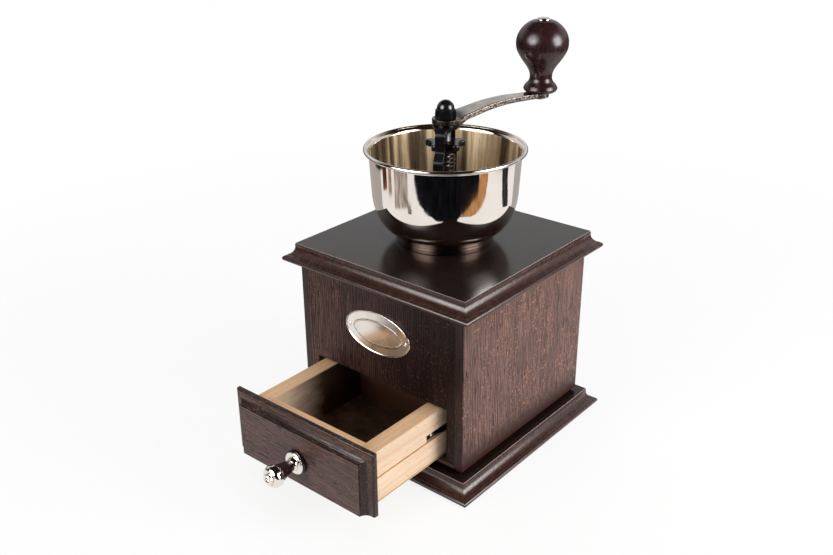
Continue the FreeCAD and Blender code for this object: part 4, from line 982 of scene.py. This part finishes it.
class GRINDER_OT_mill(bpy.types.Operator):
    """Finish the burrs, the frame that carries the shaft, the bearings and their screws"""
    bl_idname = "grinder.mill"
    bl_label = "Mill"

    def execute(self, context):
        cast = bare_metal("Cast burr steel", "#4A4A4A", "#2E2E2E", 0.42, 0.6, 0.3)
        bronze = bare_metal("Sintered bronze", "#A87B48", "#7E5A32", 0.4, 0.35, 0.2)
        zinc = bare_metal(*ZINC)
        steel = bare_metal("Ground steel", "#A9A9A8", "#868686", 0.24, 0.5, 0.06)
        black = black_steel("Blackened steel")
        for node in ("burr_ring", "burr_cone", "lower_strap"):
            dress(node, cast)
        dress("lower_bush", bronze)
        dress("upper_bush", black)
        for node in ("main_shaft", "retaining_ring", "thrust_washer"):
            dress(node, steel)
        dress("tension_spring", bare_metal("Oiled spring steel", "#50463A", "#2A241D", 0.3, 0.5, 0.06))
        for index in range(4):
            dress("mechanism_screw_" + str(index + 1), zinc)
        for node in ("strap_screw_left", "strap_screw_right"):
            dress(node, zinc)
        dress("bearing_frame", black, 0.0003)
        return {"FINISHED"}


class GRINDER_OT_bridge(bpy.types.Operator):
    """Make the bent steel bridge over the bowl"""
    bl_idname = "grinder.bridge"
    bl_label = "Bridge"

    def execute(self, context):
        thickness = 1.8
        top = high("bridge").z
        foot = low("bridge").z
        disc = 7.3
        leg = 2.7
        bend = 12.4
        shoulder = 3.65
        mid = top - thickness / 2
        foot_mid = foot + thickness / 2
        corners = [(0.0, mid), (bend, mid), (bend, 167.0), (16.5, 162.5), (16.5, foot_mid), (23.5, foot_mid)]
        half = self.rounded(corners, [3.2, 3.0, 3.0, 1.6])
        path = [(-d, z) for d, z in half[:0:-1]] + half
        widths = []
        run = self.distances(path)
        centre = run[len(half) - 1]
        for distance in run:
            d = abs(distance - centre)
            round_part = math.sqrt(max(disc * disc - d * d, 0.0))
            if d < shoulder:
                flat = 6.57 - 0.29 * d / shoulder
            elif d < bend:
                flat = 6.28 - (6.28 - leg) * (d - shoulder) / (bend - shoulder)
            else:
                flat = leg
            widths.append(max(round_part, flat))
        verts, faces = strap(path, widths, thickness, 0.45)
        verts = spun(verts, -65.0)
        black = black_steel("Oiled black strip", 0.2)
        piece("bridge_strap", verts, faces, "housing", black, ["bridge"], 50)
        return {"FINISHED"}

    def rounded(self, corners, radii):
        """The path with a true arc in each bend and close steps on its flat stretches."""
        result = []
        start = Vector(corners[0])
        for index in range(1, len(corners) - 1):
            corner = Vector(corners[index])
            back = (Vector(corners[index - 1]) - corner).normalized()
            ahead = (Vector(corners[index + 1]) - corner).normalized()
            turn = math.pi - back.angle(ahead)
            radius = radii[index - 1]
            reach = radius * math.tan(turn / 2)
            a = corner + back * reach
            b = corner + ahead * reach
            centre = corner + (back + ahead).normalized() * radius / math.cos(turn / 2)
            steps = max(2, int((a - start).length / 0.7))
            result += [tuple(start.lerp(a, step / steps)) for step in range(steps)]
            for step in range(9):
                result.append(tuple(centre + self.swing(a - centre, b - centre, step / 8)))
            start = b
        end = Vector(corners[-1])
        result += [tuple(start.lerp(end, step / 6)) for step in range(1, 7)]
        return result

    def swing(self, a, b, t):
        """The arm from a centre, turned from a to b by a share."""
        angle = a.angle_signed(b)
        turn = Matrix.Rotation(-angle * t, 2)
        return turn @ a

    def distances(self, path):
        total = 0.0
        run = [0.0]
        for a, b in zip(path, path[1:]):
            total += (Vector(b) - Vector(a)).length
            run.append(total)
        return run


class GRINDER_OT_adjuster(bpy.types.Operator):
    """Make the star wheel"""
    bl_idname = "grinder.adjuster"
    bl_label = "Star wheel"

    def execute(self, context):
        points = 5
        tip = 11.2
        root = 7.8
        lobe = 2.4
        lobe_centre = tip - lobe
        half_step = 180 / points
        cosine = math.cos(math.radians(half_step))
        valley = lobe ** 2 - lobe_centre ** 2 - root ** 2 + 2 * lobe_centre * root * cosine
        valley /= 2 * (root - lobe_centre * cosine - lobe)
        valley_centre = root + valley
        outline = []
        for index in range(points):
            tip_angle = NUT_TURN + index * 360 / points
            lobe_at = self.at(lobe_centre, tip_angle)
            valley_at = self.at(valley_centre, tip_angle + half_step)
            meet = math.degrees(math.atan2(valley_at[1] - lobe_at[1], valley_at[0] - lobe_at[0]))
            spread = (meet - tip_angle + 180) % 360 - 180
            outline += arc_points(*lobe_at, lobe, tip_angle - spread, tip_angle + spread, 14)
            back = meet + 180
            swing = (tip_angle + half_step + 180 - back + 180) % 360 - 180
            outline += arc_points(*valley_at, valley, back, back + 2 * swing, 8)[1:-1]
        level = low("star_wheel").z + 2.2
        top = high("star_wheel").z
        rows = [(0.55, level), (0.15, level + 0.15), (0.0, level + 0.55), (0.0, top - 0.9),
                (0.12, top - 0.45), (0.45, top - 0.12), (0.9, top)]
        outlines = [[(x, y, z) for x, y in self.inset(outline, amount)] for amount, z in rows]
        verts, faces = rings(outlines)
        black = black_steel("Blackened steel")
        piece("star_wheel_disc", verts, faces, "adjuster", black, ["star_wheel"], 40)
        hub = eased([(3.05, level - 2.2), (5.2, level - 2.2), (5.4, level - 1.9), (5.4, level + 0.1),
                     (3.05, level + 0.1)], 0.15)
        verts, faces = turned(hub, 64, closed=True)
        piece("star_wheel_hub", verts, faces, "adjuster", black, [], 40)
        return {"FINISHED"}

    def at(self, radius, angle):
        return radius * math.cos(math.radians(angle)), radius * math.sin(math.radians(angle))

    def inset(self, outline, amount):
        """The closed outline drawn in by an amount."""
        result = []
        count = len(outline)
        for index in range(count):
            before = Vector(outline[index - 1])
            after = Vector(outline[(index + 1) % count])
            along = (after - before).normalized()
            result.append((outline[index][0] - along.y * amount, outline[index][1] + along.x * amount))
        return result


class GRINDER_OT_crank(bpy.types.Operator):
    """Make the crank arm, its cap nut and the knob's pin"""
    bl_idname = "grinder.crank"
    bl_label = "Crank"

    angle = 67.9
    reach = 60.3
    eye = 4.9
    hub = 7.3

    def execute(self, context):
        nickel = worn_strip_nickel("Worn nickel plated strip")
        bottom = low("crank_arm").z
        thickness = 3.0
        path = self.path(bottom + thickness / 2)
        widths = [self.width(d) for d, z in path]
        verts, faces = strap(path, widths, thickness, 0.55)
        verts = spun(verts, self.angle)
        piece("crank_strip", verts, faces, "shaft", nickel, ["crank_arm"], 50)
        self.nut(context.scene.grinder_shape.turns)
        self.pin(nickel_plate("Polished nickel plate"))
        return {"FINISHED"}

    def path(self, level):
        """Centre line of the arm: flat hub, short bend up, then an easing rise to a level eye."""
        points = []
        start = -self.hub
        flat_end = 5.2
        steepest = 36
        slope = 12.3
        straight = 9.8
        easing = 106.0
        for index in range(12):
            points.append((start + (flat_end - start) * (1 - math.cos(math.pi * index / 24)), level))
        points.append((flat_end, level))
        x, z = flat_end, level
        for begin, end, radius in ((0, steepest, 3.0), (steepest, slope, -9.0)):
            first_x, first_z = x, z
            first = math.radians(begin)
            for index in range(1, 9):
                angle = math.radians(begin + (end - begin) * index / 8)
                x = first_x + radius * (math.sin(angle) - math.sin(first))
                z = first_z - radius * (math.cos(angle) - math.cos(first))
                points.append((x, z))
        rise = math.radians(slope)
        for index in range(1, 9):
            along = straight * index / 8
            points.append((x + along * math.cos(rise), z + along * math.sin(rise)))
        x, z = points[-1]
        for index in range(1, 25):
            angle = rise * (1 - index / 24)
            points.append((x + easing * (math.sin(rise) - math.sin(angle)),
                           z + easing * (math.cos(angle) - math.cos(rise))))
        x, z = points[-1]
        end = self.reach + self.eye
        for index in range(1, 33):
            points.append((x + (end - x) * math.sin(math.pi / 2 * index / 32), z))
        return points

    def width(self, d):
        neck = self.reach - self.eye * 1.6
        if d < 0:
            return max(math.sqrt(max(self.hub ** 2 - d * d, 0.0)), 0.05)
        taper = self.hub + (3.5 - self.hub) * min(d / neck, 1.0) if d < self.reach else 0.0
        around = math.sqrt(max(self.eye ** 2 - (d - self.reach) ** 2, 0.0))
        return max(taper, around, 0.05)

    def nut(self, turns):
        """Cap nut: a hexagon with a turned bevel under a round-nosed dome."""
        black = black_steel("Gloss blackened steel", 0.5)
        base = low("cap_nut").z
        top = high("cap_nut").z
        flats = 10.0
        corner = flats / math.sqrt(3)
        hexagon = 5.0
        count = 120
        outlines = []
        rows = [(0.25, 0.0), (0.0, 0.25), (0.0, 1.0), (0.0, 2.0), (0.0, hexagon - 0.75),
                (0.12, hexagon - 0.4), (0.4, hexagon - 0.12), (0.8, hexagon)]
        for drawn, height in rows:
            outline = []
            for index in range(count):
                angle = 360 * index / count
                off = (angle - 30) % 60 - 30
                flat = flats / 2 / math.cos(math.radians(off))
                limit = corner - 0.1 - drawn
                if height > hexagon - 1.0:
                    limit = min(limit, corner - 0.1 - (height - hexagon + 1.0) * 0.9)
                radius = min(flat - drawn * 0.25, limit)
                turn = math.radians(angle + NUT_TURN)
                outline.append((radius * math.cos(turn), radius * math.sin(turn), base + height))
            outlines.append(outline)
        verts, faces = rings(outlines)
        piece("cap_nut_hexagon", verts, faces, "shaft", black, ["cap_nut"], 25)
        radius = 4.7
        dome = [(0.0, base + 1.0), (radius, base + 1.0), (radius, top - radius - 0.2)]
        dome += arc_points(0.0, top - radius, radius, 0, 90, 24)[:-1] + [(0.0, top)]
        verts, faces = turned(dome, turns)
        piece("cap_nut_dome", verts, faces, "shaft", black, [], 40)

    def pin(self, nickel):
        """Rivet through the knob, with a domed cap on top and a flat one under the eye."""
        place = (low("knob_pin") + high("knob_pin")) / 2
        bottom = low("knob_pin").z
        top = high("knob_pin").z
        eye_bottom = bottom + 1.1
        profile = [(0.0, bottom), (2.4, bottom + 0.12), (3.1, bottom + 0.45), (3.4, bottom + 0.85),
                   (3.4, eye_bottom), (2.4, eye_bottom), (2.4, top - 1.3), (3.6, top - 1.3), (3.9, top - 1.1),
                   (3.75, top - 0.8), (3.0, top - 0.4), (1.6, top - 0.08), (0.0, top)]
        verts, faces = turned(eased(profile, 0.12, 3), 96, place.x, place.y)
        piece("knob_rivet", verts, faces, "shaft", nickel, ["knob_pin"], 40)


class GRINDER_OT_knob(bpy.types.Operator):
    """Make the turned wooden knob"""
    bl_idname = "grinder.knob"
    bl_label = "Knob"

    def execute(self, context):
        place = (low("crank_knob") + high("crank_knob")) / 2
        base = low("crank_knob").z
        height = high("crank_knob").z - base
        ball = (high("crank_knob").x - low("crank_knob").x) / 2
        level = height - 11.9
        points = [(9.4, 2.0), (8.5, 3.8), (7.0, 5.4), (6.25, 7.0), (6.15, 8.7), (6.6, 11.0), (8.0, 13.7),
                  (10.4, 17.0), (12.6, 20.4), (ball - 0.35, 23.6), (ball, level), (ball - 0.55, level + 3.2),
                  (ball - 2.1, level + 6.3), (9.9, level + 9.0), (6.8, level + 11.1), (3.9, height)]
        line = smooth_through(points, 6)
        profile = [(2.5, 0.0), (8.1, 0.0), (8.45, 0.2), (9.05, 0.9), (9.38, 1.6)] + line + [(2.5, height)]
        profile = [(r, base + z) for r, z in profile]
        verts, faces = turned(profile, context.scene.grinder_shape.turns, place.x, place.y, closed=True)
        wood = lacquered_wood("Lacquered turned wood")
        piece("knob_turning", verts, faces, "knob", wood, ["crank_knob"], 50)
        return {"FINISHED"}


class GRINDER_OT_badge(bpy.types.Operator):
    """Make the plain oval badge and its pins"""
    bl_idname = "grinder.badge"
    bl_label = "Badge"

    def execute(self, context):
        nickel = nickel_plate("Stamped nickel badge", 0.17)
        lower = low("badge")
        upper = high("badge")
        half_length = (upper.x - lower.x) / 2
        half_height = (upper.z - lower.z) / 2
        level = (upper.z + lower.z) / 2
        wood = upper.y
        face = wood - 0.8
        proud = wood - lower.y - 0.8
        crown = context.scene.grinder_shape.badge_crown / MM
        rows = [(0.0, 0.0), (0.0, 0.5), (0.1, 0.7 + proud * 0.7), (0.3, 0.8 + proud * 0.7),
                (0.5, 0.8 + proud * 0.62), (0.72, 0.8 + proud * 0.25), (0.95, 0.8), (4.9, 0.8), (5.05, 0.82),
                (5.3, 0.8 + proud * 0.28), (5.55, 0.8 + proud * 0.32), (5.8, 0.8 + proud * 0.25), (6.05, 0.8),
                (6.3, 0.78), (8.0, 0.8), (10.0, 0.8)]
        count = 144
        outlines = []
        for inset, height in rows:
            outline = []
            share = min(inset / (half_height * 0.9), 1.0)
            for index in range(count):
                t = 2 * math.pi * index / count
                nx = math.cos(t) / half_length
                nz = math.sin(t) / half_height
                size = math.hypot(nx, nz)
                x = half_length * math.cos(t) - inset * nx / size
                z = half_height * math.sin(t) - inset * nz / size
                swell = crown * (1 - (x / half_length) ** 2 - (z / half_height) ** 2) if inset else 0.0
                outline.append((x, wood - height - max(swell, 0.0) * min(1.0, share * 4), level + z))
            outlines.append(outline)
        verts, faces = rings(outlines, caps=False)
        faces.append(tuple(range(count)))
        middle = len(verts)
        verts.append((0.0, face - crown, level))
        last = (len(rows) - 1) * count
        for index in range(count):
            faces.append((last + index, last + (index + 1) % count, middle))
        piece("badge_plate", verts, faces, "housing", nickel, ["badge"], 60)
        for side in ("left", "right"):
            dress("badge_pin_" + side, nickel)
        return {"FINISHED"}


class GRINDER_OT_drawer(bpy.types.Operator):
    """Finish the drawer's boards and its springs"""
    bl_idname = "grinder.drawer"
    bl_label = "Drawer"

    def execute(self, context):
        edge = context.scene.grinder_shape.edge_round
        front = stained_oak("Satin stained oak drawer", "X", 41.0, 0.5, 0.4, gloss=0.3, moulded=True)
        dress("drawer_front", front, edge)
        kerf = (30.2, 31.1)
        for index, node in enumerate(("drawer_side_left", "drawer_side_right")):
            side = beech("Sanded beech side " + str(index + 1), "Y", 5.0 + index * 17.0, kerf, True)
            dress(node, side, edge)
        for index, node in enumerate(("drawer_inner_front", "drawer_back")):
            end = beech("Sanded beech end " + str(index + 1), "X", 9.0 + index * 11.0, None, True)
            dress(node, end, edge)
        dress("drawer_bottom", plywood("Birch plywood"))
        black = black_steel("Blackened steel")
        bright = nickel_plate("Nickel plated screws", 0.12)
        for side in ("left", "right"):
            dress("friction_spring_" + side, black)
            dress("spring_screw_" + side, bright)
        return {"FINISHED"}


class GRINDER_OT_pull(bpy.types.Operator):
    """Make the drawer pull"""
    bl_idname = "grinder.pull"
    bl_label = "Drawer pull"

    def execute(self, context):
        turns = context.scene.grinder_shape.turns
        front = high("pull_backing").y
        level = (low("pull_backing").z + high("pull_backing").z) / 2
        bore = 1.6
        backing_end = front - low("pull_backing").y
        rose_end = front - low("pull_rose").y
        stem_end = front - low("pull_stem").y
        end = front - low("pull_cap").y
        flange = backing_end + 0.9
        bulge = end - 1.6
        backing = [(bore, 0.0), (6.8, 0.0), (6.8, backing_end * 0.7), (6.3, backing_end), (bore, backing_end)]
        # The rose is a thin flange with a ball on it, cut where the stem sits
        reach = math.degrees(math.acos(3.0 / 3.7))
        rose = [(bore, backing_end), (6.2, backing_end), (6.2, flange - 0.25), (5.95, flange), (3.95, flange)]
        rose += arc_points(0.0, flange, 3.7, 6, reach, 12) + [(bore, rose_end)]
        stem = [(bore, rose_end), (2.9, rose_end), (4.62, stem_end - 1.1), (4.7, stem_end - 0.8),
                (4.7, stem_end), (bore, stem_end)]
        cap = [(bore, stem_end), (4.9, stem_end), (5.5, stem_end + 0.4), (5.85, stem_end + 0.75),
               (6.0, stem_end + 1.2)]
        cap += arc_points(3.5, bulge - 2.5, 2.5, 0, 90, 8)
        cap += [(3.35, bulge - 0.4), (3.0, bulge - 0.4)]
        cap += arc_points(2.5, end - 0.5, 0.5, 0, 90, 4)
        cap += [(1.3, end), (1.3, end - 1.2), (0.0, end - 1.2), (0.0, end - 2.4), (bore, end - 2.4)]
        nickel = nickel_plate("Polished nickel plate")
        black = black_steel("Blackened steel")
        wood = lacquered_wood("Lacquered turned stem", "Y")
        for name, points, material, node, slot in (
                ("pull_backing_disc", backing, black, "pull_backing", "black_steel"),
                ("pull_rose_turning", rose, nickel, "pull_rose", "bright_plating"),
                ("pull_stem_turning", stem, wood, "pull_stem", "turned_wood"),
                ("pull_cap_turning", cap, nickel, "pull_cap", "bright_plating")):
            verts, faces = turned(eased(points, 0.1, 2), turns // 2, closed=True)
            # Turned upright, then laid down so that it points out of the drawer
            verts = [(x, front - z, y + level) for x, y, z in verts]
            piece(name, verts, faces, "drawer", material, [node], 45)
        dress("pull_bolt", bare_metal("Zinc plated bolt", "#A8A8A8", "#7E8082", 0.34, 0.8, 0.05))
        return {"FINISHED"}


OPERATORS = (GRINDER_OT_stage, GRINDER_OT_carcass, GRINDER_OT_plates, GRINDER_OT_bowl, GRINDER_OT_mill,
             GRINDER_OT_bridge, GRINDER_OT_adjuster, GRINDER_OT_crank, GRINDER_OT_knob, GRINDER_OT_badge,
             GRINDER_OT_drawer, GRINDER_OT_pull)


class GRINDER_PT_panel(bpy.types.Panel):
    """Sizes, colours and build steps of the mill"""
    bl_idname = "GRINDER_PT_panel"
    bl_label = "Coffee grinder"
    bl_space_type = "VIEW_3D"
    bl_region_type = "UI"
    bl_category = "Grinder"

    def draw(self, context):
        layout = self.layout
        for operator in OPERATORS:
            layout.operator(operator.bl_idname)
        for name in SETTINGS:
            group = getattr(context.scene, name)
            box = layout.box()
            for key in group.__annotations__:
                box.prop(group, key)


SETTINGS = {"grinder_shape": GrinderShape, "grinder_wood": GrinderWood, "grinder_metal": GrinderMetal,
            "grinder_studio": GrinderStudio}
CLASSES = (*SETTINGS.values(), *OPERATORS, GRINDER_PT_panel)


def register():
    for cls in CLASSES:
        bpy.utils.register_class(cls)
    for name, group in SETTINGS.items():
        setattr(bpy.types.Scene, name, PointerProperty(type=group))


def unregister():
    for name in SETTINGS:
        delattr(bpy.types.Scene, name)
    for cls in reversed(CLASSES):
        bpy.utils.unregister_class(cls)


def main():
    register()
    bpy.ops.grinder.stage()
    bpy.ops.grinder.carcass()
    bpy.ops.grinder.plates()
    bpy.ops.grinder.bowl()
    bpy.ops.grinder.mill()
    bpy.ops.grinder.bridge()
    bpy.ops.grinder.adjuster()
    bpy.ops.grinder.crank()
    bpy.ops.grinder.knob()
    bpy.ops.grinder.badge()
    bpy.ops.grinder.drawer()
    bpy.ops.grinder.pull()


if __name__ == "__main__":
    main()
